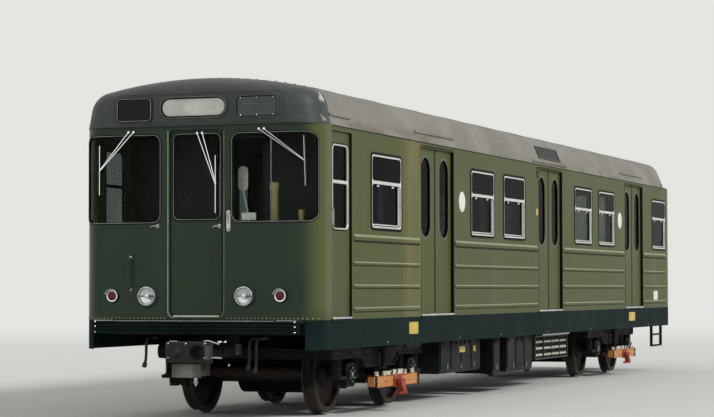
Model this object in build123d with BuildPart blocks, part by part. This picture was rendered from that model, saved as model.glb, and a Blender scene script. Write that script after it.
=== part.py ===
import os
from math import asin, degrees, sqrt

from build123d import *

os.makedirs("parts", exist_ok=True)

# A driving car of a metro train. Millimetres, +X to the cab end, +Y to the left, +Z up.
# The origin is on the ground under the middle of the car. Heights named h_ are above the rail head,
# and stations named s_ are distances back from the front face.

# Overall sizes
body_length = 17000
body_width = 2800
rail_head = 28
wall_thickness = 90
h_wall_bottom = 1070
h_cantrail = 3165
h_floor_top = 1090
floor_thickness = 50
half_length = body_length / 2
half_width = body_width / 2
inner_width = body_width - 2 * wall_thickness

# Ends of the body
front_corner_radius = 300
rear_corner_radius = 120
end_wall_thickness = 60
s_cab_door_front = 450
s_cab_door_rear = 1050
s_partition = 1200
partition_thickness = 40

# Passenger doorways
s_first_doorway = 4048
last_doorway_from_rear = 2578
doorway_count = 3
doorway_width = 1276
h_doorway_top = 3110
sill_thickness = 25
leaf_thickness = 34
leaf_clearance = 6
leaf_end_gap = 5
leaf_lap = 25
leaf_left_in_doorway = 38
pocket_end_room = 20
pocket_skin = 10
pocket_headroom = 35
leaf_window_width = 340
leaf_window_height = 955
h_leaf_window_bottom = 2035
leaf_window_from_jamb = 286

# Side windows
window_width = 1051
window_height = 874
h_window_bottom = 2069
window_corner_radius = 70
window_from_pocket = 55
window_frame_width = 42
window_frame_proud = 4
h_window_divider = 2608
divider_height = 36
glass_thickness = 6
glass_gap = 1

# Mouldings on the side walls: height of the lower edge, height of the upper edge
moulding_heights = ((1140, 1197), (1401, 1450), (1655, 1704), (1916, 2006))
moulding_proud = 10
moulding_setback = 60

# Roof section
roof_lean = 160
roof_corner_h = 3548
roof_shoulder_radius = 250
roof_crown_radius = 4000
ceiling_h = 3480
ceiling_lean = 310
s_roof_front = 1100
roof_end_length = 300
s_dome_rear = 420
roof_end_drop = 90

# Bogies and wheels
bogie_from_end = 2860
wheelbase = 2100
wheel_diameter = 860
flange_depth = rail_head
back_to_back = 1360
rim_width = 135
flange_thickness = 32
rim_depth = 65
hub_radius = 125
hub_length = 180
web_thickness = 28
axle_radius = 78
journal_radius = 62
journal_end_y = 1085
axlebox_inner = 930
axlebox_width = 170
axlebox_size = 270
axlebox_clearance = 3
side_frame_y = 1015
side_frame_thickness = 120

# Couplers
coupler_overhang = 250
coupler_pivot_s = 1000
coupler_head_width = 490
coupler_head_height = 225
h_coupler = 728
coupler_eye_radius = 95
coupler_eye_height = 120
draw_pin_radius = 40
draw_pin_clearance = 3


def z_at(height):
    """Height above the ground of a height above the rail head."""
    return rail_head + height


def x_at(station):
    """X of a distance back from the front face."""
    return half_length - station


def save(piece, name):
    """Label a piece and write it to its own file."""
    piece.label = name
    export_step(piece, f"parts/{name}.step")


def box_between(x_pair, y_pair, z_pair, mode=Mode.ADD):
    """A box given by its limits along each axis."""
    with Locations(((x_pair[0] + x_pair[1]) / 2, (y_pair[0] + y_pair[1]) / 2, (z_pair[0] + z_pair[1]) / 2)):
        Box(abs(x_pair[1] - x_pair[0]), abs(y_pair[1] - y_pair[0]), abs(z_pair[1] - z_pair[0]), mode=mode)


def rounded_window(x_centre, z_bottom, width, height, radius, mode=Mode.ADD):
    """A rounded rectangle in an XZ sketch, given by its centre line and its lower edge."""
    with Locations((x_centre, z_bottom + height / 2)):
        RectangleRounded(width, height, radius, mode=mode)


def corner_drop(into_corner):
    """How far a front corner of the plan has curved away, at a distance past the start of its curve."""
    reach = min(max(into_corner, 0), front_corner_radius)
    return front_corner_radius - sqrt(front_corner_radius**2 - reach**2)


doorway_pitch = (body_length - s_first_doorway - last_doorway_from_rear) / (doorway_count - 1)
doorway_stations = [s_first_doorway + n * doorway_pitch for n in range(doorway_count)]
half_doorway = doorway_width / 2
leaf_travel = half_doorway - leaf_left_in_doorway
leaf_window_offset = half_doorway - leaf_window_from_jamb
pocket_depth = leaf_lap + leaf_travel + pocket_end_room
wall_inner_y = half_width - wall_thickness
leaf_inner_y = wall_inner_y + pocket_skin + leaf_clearance
pocket_outer_y = leaf_inner_y + leaf_thickness + leaf_clearance
z_wall_bottom = z_at(h_wall_bottom)
z_cantrail = z_at(h_cantrail)
z_floor_top = z_at(h_floor_top)
z_sill_top = z_wall_bottom + sill_thickness
z_pocket_top = z_at(h_doorway_top) + pocket_headroom
s_body_rear = body_length
roof_corner_y = half_width - roof_lean
ceiling_half_width = wall_inner_y - ceiling_lean
s_roof_rear = s_body_rear - roof_end_length
bogie_centre = half_length - bogie_from_end

# Window centres along the car: one each side of every doorway pier
window_offset = half_doorway + pocket_depth + window_from_pocket + window_width / 2
window_stations = [doorway_stations[0] - window_offset]
for station in doorway_stations[:-1]:
    window_stations += [station + window_offset, station + doorway_pitch - window_offset]
window_stations += [doorway_stations[-1] + window_offset]

# Side wall panels between the openings: front station, rear station
panel_edges = [(s_cab_door_rear, doorway_stations[0] - half_doorway)]
for station in doorway_stations[:-1]:
    panel_edges += [(station + half_doorway, station + doorway_pitch - half_doorway)]
panel_edges += [(doorway_stations[-1] + half_doorway, s_body_rear - rear_corner_radius)]


def make_left_wall():
    with BuildPart() as wall:
        for s_front, s_rear in panel_edges:
            x_rear, x_front = x_at(s_rear), x_at(s_front)
            with BuildSketch(Plane.XZ.offset(-half_width)):
                with Locations(((x_rear + x_front) / 2, (z_wall_bottom + z_cantrail) / 2)):
                    Rectangle(x_front - x_rear, z_cantrail - z_wall_bottom)
                for s_window in window_stations:
                    if s_front < s_window < s_rear:
                        rounded_window(x_at(s_window), z_at(h_window_bottom), window_width, window_height,
                                       window_corner_radius, mode=Mode.SUBTRACT)
            extrude(amount=wall_thickness)
            ends = (x_rear + moulding_setback, x_front - moulding_setback)
            for h_low, h_high in moulding_heights:
                with BuildSketch(Plane.YZ.offset(ends[0])):
                    with BuildLine():
                        bottom = (half_width, z_at(h_low))
                        middle = (half_width + moulding_proud, z_at((h_low + h_high) / 2))
                        top = (half_width, z_at(h_high))
                        ThreePointArc(bottom, middle, top)
                        Line(top, bottom)
                    make_face()
                extrude(amount=ends[1] - ends[0])
        for station in doorway_stations:
            for way in (1, -1):
                edge = x_at(station) + way * half_doorway
                box_between((edge, edge + way * pocket_depth), (wall_inner_y + pocket_skin, pocket_outer_y),
                            (z_sill_top, z_pocket_top), mode=Mode.SUBTRACT)
    return wall.part


left_wall = make_left_wall()
save(left_wall, "left_side_wall")
with BuildPart() as right_wall:
    mirror(left_wall, about=Plane.XZ)
save(right_wall.part, "right_side_wall")

# Headers over the passenger doorways and the cab doors: a channel that the leaves hang in
header_skin = z_cantrail - z_pocket_top
cover_depth = 60
with BuildPart() as door_headers:
    spans = [(x_at(s) - half_doorway, x_at(s) + half_doorway) for s in doorway_stations]
    for x_rear, x_front in spans:
        box_between((x_rear, x_front), (wall_inner_y, half_width), (z_pocket_top, z_cantrail))
        box_between((x_rear, x_front), (pocket_outer_y, half_width), (z_at(h_doorway_top), z_pocket_top))
        box_between((x_rear, x_front), (wall_inner_y, wall_inner_y + pocket_skin),
                    (z_pocket_top - cover_depth, z_pocket_top))
    box_between((x_at(s_cab_door_rear), x_at(s_cab_door_front)), (wall_inner_y, half_width),
                (z_at(h_doorway_top), z_cantrail))
    mirror(about=Plane.XZ)
save(door_headers.part, "door_headers")

# Sliding leaves: each node is the leaf and, in its opening, the pane
z_leaf_bottom = z_sill_top + leaf_end_gap
z_leaf_top = z_pocket_top - leaf_end_gap


def make_leaf(x_centre, way, side):
    inner_edge = x_centre + way * leaf_end_gap / 2
    outer_edge = x_centre + way * (half_doorway + leaf_lap)
    x_window = x_centre + way * leaf_window_offset
    with BuildPart() as leaf:
        with BuildSketch(Plane.XZ.offset(-leaf_inner_y)):
            with Locations(((inner_edge + outer_edge) / 2, (z_leaf_bottom + z_leaf_top) / 2)):
                Rectangle(abs(outer_edge - inner_edge), z_leaf_top - z_leaf_bottom)
            rounded_window(x_window, z_at(h_leaf_window_bottom), leaf_window_width, leaf_window_height,
                           leaf_window_width / 2 - 1, mode=Mode.SUBTRACT)
        extrude(amount=-leaf_thickness)
        pane_y = leaf_inner_y + (leaf_thickness - glass_thickness) / 2
        with BuildSketch(Plane.XZ.offset(-pane_y)):
            rounded_window(x_window, z_at(h_leaf_window_bottom) + glass_gap,
                           leaf_window_width - 2 * glass_gap, leaf_window_height - 2 * glass_gap,
                           leaf_window_width / 2 - 1 - glass_gap)
        extrude(amount=-glass_thickness)
    if side > 0:
        return leaf.part
    with BuildPart() as mirrored:
        mirror(leaf.part, about=Plane.XZ)
    return mirrored.part


for side, side_name in ((1, "left"), (-1, "right")):
    for number, station in enumerate(doorway_stations, start=1):
        for way, way_name in ((1, "front"), (-1, "rear")):
            save(make_leaf(x_at(station), way, side), f"{side_name}_door_{number}_{way_name}_leaf")

# Floor plate between the side walls, end to end
with BuildPart() as floor:
    box_between((x_at(s_body_rear) + end_wall_thickness, x_at(end_wall_thickness)),
                (-wall_inner_y, wall_inner_y), (z_floor_top - floor_thickness, z_floor_top))
    corner_edges = floor.edges().filter_by(Axis.Z)
    fillet(corner_edges.group_by(Axis.X)[-1], front_corner_radius - end_wall_thickness)
    fillet(floor.edges().filter_by(Axis.Z).group_by(Axis.X)[0], rear_corner_radius - end_wall_thickness)
save(floor.part, "floor")

# Door sills: a plate in the doorway with a lip down over the skirt
sill_lip = 8
sill_lip_drop = 35
with BuildPart() as door_sills:
    for s_front, s_rear in [(s - half_doorway, s + half_doorway) for s in doorway_stations] + [
            (s_cab_door_front, s_cab_door_rear)]:
        x_pair = (x_at(s_rear), x_at(s_front))
        box_between(x_pair, (wall_inner_y, half_width + sill_lip), (z_wall_bottom, z_sill_top))
        box_between(x_pair, (half_width, half_width + sill_lip),
                    (z_wall_bottom - sill_lip_drop, z_wall_bottom))
    mirror(about=Plane.XZ)
save(door_sills.part, "door_sills")

# Underframe: side sills, centre sills, cross bearers, bolsters over the bogies and a draw beam at each end
h_underframe_bottom = 900
frame_top = z_floor_top - floor_thickness
frame_bottom = z_at(h_underframe_bottom)
side_sill_width = 90
skirt_thickness = 20
skirt_y = half_width - skirt_thickness
centre_sill_y = 260
centre_sill_width = 90
bearer_width = 80
bearer_count = 11
bolster_width = 500
bolster_half_length = half_width - 150
draw_beam_width = 160
draw_box_half_length = 130
pin_radius = 110
pin_engagement = 92
centre_plate_radius = 200
centre_plate_gap = 5
centre_plate_thickness = 45
draw_boss_radius = 75
draw_collar_height = 28
wheel_radius = wheel_diameter / 2
axle_z = rail_head + wheel_radius
transom_z = (axle_z + 82, axle_z + 222)
z_pin_bottom = transom_z[1] - pin_engagement
frame_end_x = half_length - front_corner_radius
with BuildPart() as underframe:
    side_sill_y = skirt_y - side_sill_width / 2
    for y_sill, width in ((side_sill_y, side_sill_width), (centre_sill_y, centre_sill_width)):
        for side in (1, -1):
            box_between((-frame_end_x, frame_end_x), (side * y_sill - width / 2, side * y_sill + width / 2),
                        (frame_bottom, frame_top))
    bearer_pitch = 2 * (frame_end_x - draw_beam_width / 2) / (bearer_count - 1)
    for n in range(bearer_count):
        x_bearer = (n - (bearer_count - 1) / 2) * bearer_pitch
        width = draw_beam_width if n in (0, bearer_count - 1) else bearer_width
        box_between((x_bearer - width / 2, x_bearer + width / 2), (-skirt_y, skirt_y),
                    (frame_bottom, frame_top))
    for x_bogie in (bogie_centre, -bogie_centre):
        box_between((x_bogie - bolster_width / 2, x_bogie + bolster_width / 2),
                    (-bolster_half_length, bolster_half_length), (frame_bottom, frame_top))
        with Locations((x_bogie, 0, z_pin_bottom)):
            Cylinder(pin_radius, frame_bottom - z_pin_bottom, align=(Align.CENTER, Align.CENTER, Align.MIN))
        with Locations((x_bogie, 0, transom_z[1] + centre_plate_gap)):
            Cylinder(centre_plate_radius, centre_plate_thickness,
                     align=(Align.CENTER, Align.CENTER, Align.MIN))
    for x_end in (half_length - coupler_pivot_s, coupler_pivot_s - half_length):
        box_between((x_end - draw_box_half_length, x_end + draw_box_half_length),
                    (-centre_sill_y, centre_sill_y), (frame_bottom, frame_top))
        z_eye_low = z_at(h_coupler) - coupler_eye_height / 2
        z_eye_high = z_at(h_coupler) + coupler_eye_height / 2
        for radius, z_low, z_high in ((draw_pin_radius, z_eye_low - draw_collar_height, frame_bottom),
                                      (draw_boss_radius, z_eye_high + draw_pin_clearance, frame_bottom),
                                      (draw_boss_radius, z_eye_low - draw_collar_height,
                                       z_eye_low - draw_pin_clearance)):
            with Locations((x_end, 0, z_low)):
                Cylinder(radius, z_high - z_low, align=(Align.CENTER, Align.CENTER, Align.MIN))
save(underframe.part, "underframe")


def plan_outline(inset, s_front, s_rear):
    """Plan of the body, drawn in by an inset, with its front and rear corners rounded."""
    x_front = x_at(s_front) - inset
    x_rear = x_at(s_rear) + inset
    with Locations(((x_front + x_rear) / 2, 0)):
        Rectangle(x_front - x_rear, body_width - 2 * inset)
    return x_front, x_rear


def round_corners(corners, front_radius, rear_radius):
    """Round the corners of a plan sketch at its two ends."""
    fillet(corners.group_by(Axis.X)[-1], front_radius)
    fillet(corners.group_by(Axis.X)[0], rear_radius)


# Side skirts below the body, carried round its corners
h_skirt_bottom = 750
skirt_end_y = half_width - 150
tab_stations = (2870, 3380)
tab_depth = 40
with BuildPart() as side_skirts:
    for inset, mode in ((0, Mode.ADD), (skirt_thickness, Mode.SUBTRACT)):
        with BuildSketch(Plane.XY.offset(z_at(h_skirt_bottom))) as plan:
            plan_outline(inset, 0, s_body_rear)
            round_corners(plan.vertices(), front_corner_radius - inset, rear_corner_radius - inset)
        extrude(amount=z_wall_bottom - z_at(h_skirt_bottom), mode=mode)
    box_between((-half_length, half_length), (-skirt_end_y, skirt_end_y),
                (z_at(h_skirt_bottom), z_wall_bottom), mode=Mode.SUBTRACT)
    for side in (1, -1):
        y_tab = side * (half_width - skirt_thickness / 2)
        box_between((x_at(tab_stations[1]), x_at(tab_stations[0])),
                    (y_tab - skirt_thickness / 2, y_tab + skirt_thickness / 2),
                    (z_at(h_skirt_bottom) - tab_depth, z_at(h_skirt_bottom)))
save(side_skirts.part, "side_skirts")

# Cab front: the end wall with its rounded corners, the windscreens and the doorway between the cars
end_door_width = 633
h_end_door_bottom = 1115
h_end_door_top = 3120
end_door_corner = 60
screen_inner_y = end_door_width / 2 + 103.5
screen_outer_y = half_width - 40
h_screen_bottom = 2120
screen_height = 955
screen_corner = 90


def end_shell(s_front, s_rear, thickness, front_radius, rear_radius):
    """A closed ring of wall following the plan, from the wall's foot to the cantrail."""
    for inset, mode in ((0, Mode.ADD), (thickness, Mode.SUBTRACT)):
        with BuildSketch(Plane.XY.offset(z_wall_bottom)) as plan:
            plan_outline(inset, s_front, s_rear)
            round_corners(plan.vertices(), front_radius - inset, rear_radius - inset)
        extrude(plan.sketch, amount=z_cantrail - z_wall_bottom, mode=mode)


def end_opening(x_from, x_to, width, z_bottom, z_top, corner, mode):
    """A rounded opening through an end wall, centred on the car."""
    with BuildSketch(Plane.YZ.offset(x_from)) as opening:
        with Locations((0, (z_bottom + z_top) / 2)):
            RectangleRounded(width, z_top - z_bottom, corner)
    extrude(opening.sketch, amount=x_to - x_from, mode=mode)


def ceiling_prism(x_from, x_to, mode):
    """The space over the cantrails that the ceiling closes, from one X to another."""
    with BuildSketch(Plane.YZ.offset(x_from)) as space:
        with BuildLine():
            Polyline((wall_inner_y, z_cantrail), (ceiling_half_width, z_at(ceiling_h)),
                     (-ceiling_half_width, z_at(ceiling_h)), (-wall_inner_y, z_cantrail), close=True)
        make_face()
    extrude(space.sketch, amount=x_to - x_from, mode=mode)


x_front_face = x_at(0)
screen_width = screen_outer_y - screen_inner_y
screen_y = (screen_outer_y + screen_inner_y) / 2
screen_depth = front_corner_radius
with BuildPart() as cab_front:
    end_shell(0, s_body_rear, end_wall_thickness, front_corner_radius, rear_corner_radius)
    box_between((x_at(s_body_rear), x_at(s_cab_door_front)), (-half_width, half_width),
                (z_wall_bottom, z_cantrail), mode=Mode.SUBTRACT)
    end_opening(x_at(end_wall_thickness), x_front_face, end_door_width, z_at(h_end_door_bottom),
                z_at(h_end_door_top), end_door_corner, Mode.SUBTRACT)
    with BuildSketch(Plane.YZ.offset(x_at(screen_depth))):
        with Locations((screen_y, z_at(h_screen_bottom) + screen_height / 2),
                       (-screen_y, z_at(h_screen_bottom) + screen_height / 2)):
            RectangleRounded(screen_width, screen_height, screen_corner)
    extrude(amount=screen_depth, mode=Mode.SUBTRACT)
save(cab_front.part, "cab_front")

# Windscreens: panes that follow the plan round the corners
screen_setback = 14
screen_gap = 3
with BuildPart() as windscreens:
    for inset, mode in ((screen_setback, Mode.ADD), (screen_setback + glass_thickness, Mode.SUBTRACT)):
        with BuildSketch(Plane.XY.offset(z_at(h_screen_bottom))) as plan:
            plan_outline(inset, 0, s_body_rear)
            round_corners(plan.vertices(), front_corner_radius - inset, rear_corner_radius - inset)
        extrude(amount=screen_height, mode=mode)
    with BuildSketch(Plane.YZ.offset(x_at(screen_depth))):
        with Locations((screen_y, z_at(h_screen_bottom) + screen_height / 2),
                       (-screen_y, z_at(h_screen_bottom) + screen_height / 2)):
            RectangleRounded(screen_width - 2 * screen_gap, screen_height - 2 * screen_gap,
                             screen_corner - screen_gap)
    extrude(amount=screen_depth, mode=Mode.INTERSECT)
save(windscreens.part, "windscreens")

# Rear end wall, with the doorway between the cars
with BuildPart() as rear_end_wall:
    end_shell(0, s_body_rear, end_wall_thickness, front_corner_radius, rear_corner_radius)
    box_between((x_at(s_body_rear - rear_corner_radius), x_front_face), (-half_width, half_width),
                (z_wall_bottom, z_cantrail), mode=Mode.SUBTRACT)
    end_opening(x_at(s_body_rear), x_at(s_body_rear - end_wall_thickness), end_door_width,
                z_at(h_end_door_bottom), z_at(h_end_door_top), end_door_corner, Mode.SUBTRACT)
    ceiling_prism(x_at(s_body_rear), x_at(s_body_rear - end_wall_thickness), Mode.ADD)
save(rear_end_wall.part, "rear_end_wall")

# Partition behind the cab, with a doorway to the saloon
with BuildPart() as cab_partition:
    x_back = x_at(s_partition + partition_thickness)
    box_between((x_back, x_at(s_partition)), (-wall_inner_y, wall_inner_y), (z_floor_top, z_cantrail))
    end_opening(x_back, x_at(s_partition), end_door_width, z_at(h_end_door_bottom), z_at(h_end_door_top),
                end_door_corner, Mode.SUBTRACT)
save(cab_partition.part, "cab_partition")


def roof_section(x, foot_y, corner_y, z_corner, crown_radius, shoulder_radius):
    """Roof section across the car: flat foot, leaning sides, rounded shoulders and shallow crown."""
    z_crown = z_corner + crown_radius - sqrt(crown_radius**2 - corner_y**2)
    with BuildSketch(Plane.YZ.offset(x)) as section:
        with BuildLine():
            Line((foot_y, z_cantrail), (corner_y, z_corner))
            ThreePointArc((corner_y, z_corner), (0, z_crown), (-corner_y, z_corner))
            Line((-corner_y, z_corner), (-foot_y, z_cantrail))
            Line((-foot_y, z_cantrail), (foot_y, z_cantrail))
        make_face()
        fillet(section.vertices().group_by(Axis.Y)[-1], shoulder_radius)
    return section.sketch


def roof_at(station, foot_y, corner_y, corner_h, crown_radius):
    """Roof section at a station, with the corner's height above the rail head."""
    return roof_section(x_at(station), foot_y, corner_y, z_at(corner_h), crown_radius, roof_shoulder_radius)


# Sections of the dome over the cab front. Station, how far the foot stands out past the plan's corner,
# how far the corner leans in from the foot, height of the corner above the rail head.
dome_crown_radius = 5200
dome_table = ((-30, 0, 80, 3460), (50, 30, 76, 3500), (120, 11, 71, 3515),
              (front_corner_radius, 0, 70, 3530), (s_dome_rear, 0, 75, 3536))
cavity_stations = (50, s_dome_rear)
cavity_foot = wall_inner_y - 130
cavity_lean = 90
cavity_corner_h = 3400
dome_sections = []
for station, overhang, lean, corner_h in dome_table:
    foot = half_width - corner_drop(front_corner_radius - station) + overhang
    dome_sections += [roof_at(station, foot, foot - lean, corner_h, dome_crown_radius)]
with BuildPart() as front_dome:
    loft(dome_sections)
    cavity_section = (cavity_foot, cavity_foot - cavity_lean, cavity_corner_h, dome_crown_radius)
    extrude(roof_at(cavity_stations[1], *cavity_section), amount=cavity_stations[1] - cavity_stations[0],
            mode=Mode.SUBTRACT)
save(front_dome.part, "front_dome")

# Roof over the saloon, with the ceiling inside it, running out to the dome and down at the rear end
plain_section = (half_width, roof_corner_y, roof_corner_h, roof_crown_radius)
rear_drop_section = (half_width - roof_end_drop, roof_corner_y - roof_end_drop, roof_corner_h - roof_end_drop,
                     roof_crown_radius)
with BuildPart() as roof:
    extrude(roof_at(s_roof_rear, *plain_section), amount=s_roof_rear - s_roof_front)
    loft([dome_sections[-1], roof_at(s_roof_front, *plain_section)])
    loft([roof_at(s_roof_rear, *plain_section), roof_at(s_body_rear, *rear_drop_section)])
    ceiling_prism(x_at(s_body_rear), x_at(s_dome_rear), Mode.SUBTRACT)
save(roof.part, "roof")

# Frames of the side windows, each with the bar between its two panes, and the panes
frame_depth = 44
frame_gap = 0.5
pane_setbacks = {"lower": 32, "upper": 6}
frame_outer_y = half_width + window_frame_proud
z_window = z_at(h_window_bottom)
z_divider = z_at(h_window_divider)
frame_opening_width = window_width - 2 * window_frame_width
frame_opening_radius = window_corner_radius - window_frame_width / 2


def window_panes(s_window):
    """Centre height, height and set-back of the lower and upper pane of a side window."""
    low = z_window + window_frame_width
    high = z_window + window_height - window_frame_width
    for name, z_low, z_high in (("lower", low, z_divider - divider_height / 2),
                                ("upper", z_divider + divider_height / 2, high)):
        yield (z_low + z_high) / 2, z_high - z_low, pane_setbacks[name]


with BuildPart() as window_frames:
    for s_window in window_stations:
        with BuildSketch(Plane.XZ.offset(-frame_outer_y)):
            rounded_window(x_at(s_window), z_window + frame_gap, window_width - 2 * frame_gap,
                           window_height - 2 * frame_gap, window_corner_radius - frame_gap)
            for z_centre, height, setback in window_panes(s_window):
                with Locations((x_at(s_window), z_centre)):
                    RectangleRounded(frame_opening_width, height, frame_opening_radius, mode=Mode.SUBTRACT)
        extrude(amount=frame_depth)
    mirror(about=Plane.XZ)
save(window_frames.part, "window_frames")

with BuildPart() as window_glass:
    for s_window in window_stations:
        for z_centre, height, setback in window_panes(s_window):
            with BuildSketch(Plane.XZ.offset(setback - frame_outer_y)):
                with Locations((x_at(s_window), z_centre)):
                    RectangleRounded(frame_opening_width - 2 * glass_gap, height - 2 * glass_gap,
                                     frame_opening_radius - glass_gap)
            extrude(amount=glass_thickness)
    mirror(about=Plane.XZ)
save(window_glass.part, "window_glass")

# Hinged doors: the two cab doors, and the end and partition doors
hinged_gap = 5
hinge_radius = 4
cab_door_thickness = 40
cab_door_setback = 25
cab_window = (461, 901, 60)
h_cab_window_bottom = 2058
end_door_thickness = 36
end_door_setback = 30
end_window = (560, 930, 70)
h_end_window_bottom = 2150


def make_cab_door():
    width = s_cab_door_rear - s_cab_door_front - 2 * hinged_gap
    z_low = z_sill_top + hinged_gap
    z_high = z_at(h_doorway_top) - hinged_gap
    x_door = x_at((s_cab_door_front + s_cab_door_rear) / 2)
    window, height, radius = cab_window
    with BuildPart() as door:
        with BuildSketch(Plane.XZ.offset(cab_door_setback - half_width)):
            with Locations((x_door, (z_low + z_high) / 2)):
                Rectangle(width, z_high - z_low)
            rounded_window(x_door, z_at(h_cab_window_bottom), window, height, radius, mode=Mode.SUBTRACT)
        extrude(amount=cab_door_thickness)
        with BuildSketch(Plane.XZ.offset(cab_door_setback + cab_door_thickness / 2 - half_width)):
            rounded_window(x_door, z_at(h_cab_window_bottom) + glass_gap, window - 2 * glass_gap,
                           height - 2 * glass_gap, radius - glass_gap)
        extrude(amount=glass_thickness)
        with Locations((x_door - width / 2, half_width - cab_door_setback - cab_door_thickness, z_low)):
            Cylinder(hinge_radius, z_high - z_low, align=(Align.CENTER, Align.CENTER, Align.MIN))
    return door.part


left_cab_door = make_cab_door()
save(left_cab_door, "left_cab_door")
with BuildPart() as right_cab_door:
    mirror(left_cab_door, about=Plane.XZ)
save(right_cab_door.part, "right_cab_door")


def make_end_door(x_outer, inward, hinge_side):
    """A door in a wall across the car, from its outer face inward, with its pane and its hinge."""
    window, height, radius = end_window
    z_low = z_at(h_end_door_bottom) + hinged_gap
    z_high = z_at(h_end_door_top) - hinged_gap
    with BuildPart() as door:
        with BuildSketch(Plane.YZ.offset(x_outer)) as outline:
            with Locations((0, (z_low + z_high) / 2)):
                RectangleRounded(end_door_width - 2 * hinged_gap, z_high - z_low,
                                 end_door_corner - hinged_gap)
            with Locations((0, z_at(h_end_window_bottom) + height / 2)):
                RectangleRounded(window, height, radius, mode=Mode.SUBTRACT)
        extrude(outline.sketch, amount=inward * end_door_thickness)
        with BuildSketch(Plane.YZ.offset(x_outer + inward * end_door_thickness / 2)) as pane:
            with Locations((0, z_at(h_end_window_bottom) + height / 2)):
                RectangleRounded(window - 2 * glass_gap, height - 2 * glass_gap, radius - glass_gap)
        extrude(pane.sketch, amount=inward * glass_thickness)
        hinge_y = hinge_side * (end_door_width / 2 - hinged_gap)
        with Locations((x_outer + inward * end_door_thickness, hinge_y, z_low + end_door_corner)):
            Cylinder(hinge_radius, z_high - z_low - 2 * end_door_corner,
                     align=(Align.CENTER, Align.CENTER, Align.MIN))
    return door.part


save(make_end_door(x_at(end_door_setback), -1, -1), "front_end_door")
save(make_end_door(x_at(s_body_rear - end_door_setback), 1, 1), "rear_end_door")
partition_door_s = s_partition + (partition_thickness - end_door_thickness) / 2
save(make_end_door(x_at(partition_door_s), -1, 1), "partition_door")

# Anti-climb beams across the ends, with their horizontal grooves
h_beam = (925, 1062)
beam_half_length = half_width - 200
beam_depth = 70
groove_count = 3
groove_depth = 22
with BuildPart() as buffer_beams:
    with BuildSketch(Plane.XZ.offset(-beam_half_length)) as beam_section:
        with Locations((x_front_face + beam_depth / 2, z_at(sum(h_beam) / 2))):
            Rectangle(beam_depth, h_beam[1] - h_beam[0])
        groove_pitch = (h_beam[1] - h_beam[0]) / (groove_count + 0.5)
        with Locations((x_front_face + beam_depth - groove_depth / 2, z_at(sum(h_beam) / 2))):
            with GridLocations(1, groove_pitch, 1, groove_count):
                Rectangle(groove_depth, groove_pitch / 2, mode=Mode.SUBTRACT)
    extrude(amount=2 * beam_half_length)
    mirror(about=Plane.YZ)
save(buffer_beams.part, "buffer_beams")

# Headlamps and tail lamps: a housing with a bevelled rim round a domed lens. Distance from the centre line,
# height above the rail head, radius, depth.
lamp_table = ((572, 1327, 120, 45), (990, 1330, 70, 40))
lamp_rim_width = 18
lamp_rim_bevel = 10
lens_setback = 16
lens_rise = 14
tail_lamp_hood = (56, 7)
with BuildPart() as lamps:
    for y_lamp, h_lamp, radius, depth in lamp_table:
        lens_radius = radius - lamp_rim_width
        for side in (1, -1):
            with BuildSketch(Plane.XZ.offset(-side * y_lamp)) as profile:
                with BuildLine():
                    lens_edge = (x_front_face + depth - lens_setback, z_at(h_lamp) + lens_radius)
                    lens_middle = (x_front_face + depth - lens_setback + lens_rise, z_at(h_lamp))
                    Polyline(lens_edge, (x_front_face + depth, z_at(h_lamp) + lens_radius),
                             (x_front_face + depth, z_at(h_lamp) + radius - lamp_rim_bevel),
                             (x_front_face + depth - lamp_rim_bevel, z_at(h_lamp) + radius),
                             (x_front_face, z_at(h_lamp) + radius), (x_front_face, z_at(h_lamp)), lens_middle)
                    RadiusArc(lens_middle, lens_edge, -(lens_radius**2 + lens_rise**2) / (2 * lens_rise))
                make_face()
            revolve(profile.sketch, axis=Axis((x_front_face, side * y_lamp, z_at(h_lamp)), (1, 0, 0)))
    y_lamp, h_lamp, radius, depth = lamp_table[-1]
    hood_depth, hood_thickness = tail_lamp_hood
    for side in (1, -1):
        with BuildSketch(Plane(origin=(x_front_face, side * y_lamp, z_at(h_lamp)), x_dir=(0, 1, 0),
                               z_dir=(1, 0, 0))) as hood:
            Circle(radius + hood_thickness)
            Circle(radius, mode=Mode.SUBTRACT)
            with Locations((0, radius)):
                Rectangle(3 * radius, 2 * radius, mode=Mode.INTERSECT)
        extrude(hood.sketch, amount=hood_depth)
save(lamps.part, "lamps")

# Displays over the cab front: a number box, a destination blind and a grille. Distance of the middle from the
# centre line, width, height above the rail head, height, corner radius, number of slats.
display_table = ((-716, 424, 3218, 262, 50, 0), (-10, 780, 3247, 226, 110, 0), (731, 490, 3231, 240, 60, 8))
display_back = 8
display_rim_depth = 22
display_rim_width = 16
slat_depth = 18
slat_share = 0.45
x_dome_face = x_at(dome_table[0][0])
with BuildPart() as display_panels:
    for y_middle, width, h_low, height, corner, slat_count in display_table:
        with BuildSketch(Plane.YZ.offset(x_dome_face)) as rim:
            with Locations((y_middle, z_at(h_low) + height / 2)):
                RectangleRounded(width, height, corner)
        extrude(rim.sketch, amount=display_rim_depth)
        with BuildSketch(Plane.YZ.offset(x_dome_face + display_back)) as inside:
            with Locations((y_middle, z_at(h_low) + height / 2)):
                RectangleRounded(width - 2 * display_rim_width, height - 2 * display_rim_width,
                                 corner - display_rim_width)
        extrude(inside.sketch, amount=display_rim_depth - display_back, mode=Mode.SUBTRACT)
        if slat_count:
            slat_pitch = (height - 2 * display_rim_width) / slat_count
            with BuildSketch(Plane.YZ.offset(x_dome_face + display_back)) as slats:
                with Locations((y_middle, z_at(h_low) + height / 2)):
                    with GridLocations(1, slat_pitch, 1, slat_count - 1):
                        Rectangle(width - 2 * display_rim_width, slat_pitch * slat_share)
            extrude(slats.sketch & inside.sketch, amount=slat_depth - display_back)
save(display_panels.part, "display_panels")

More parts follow.
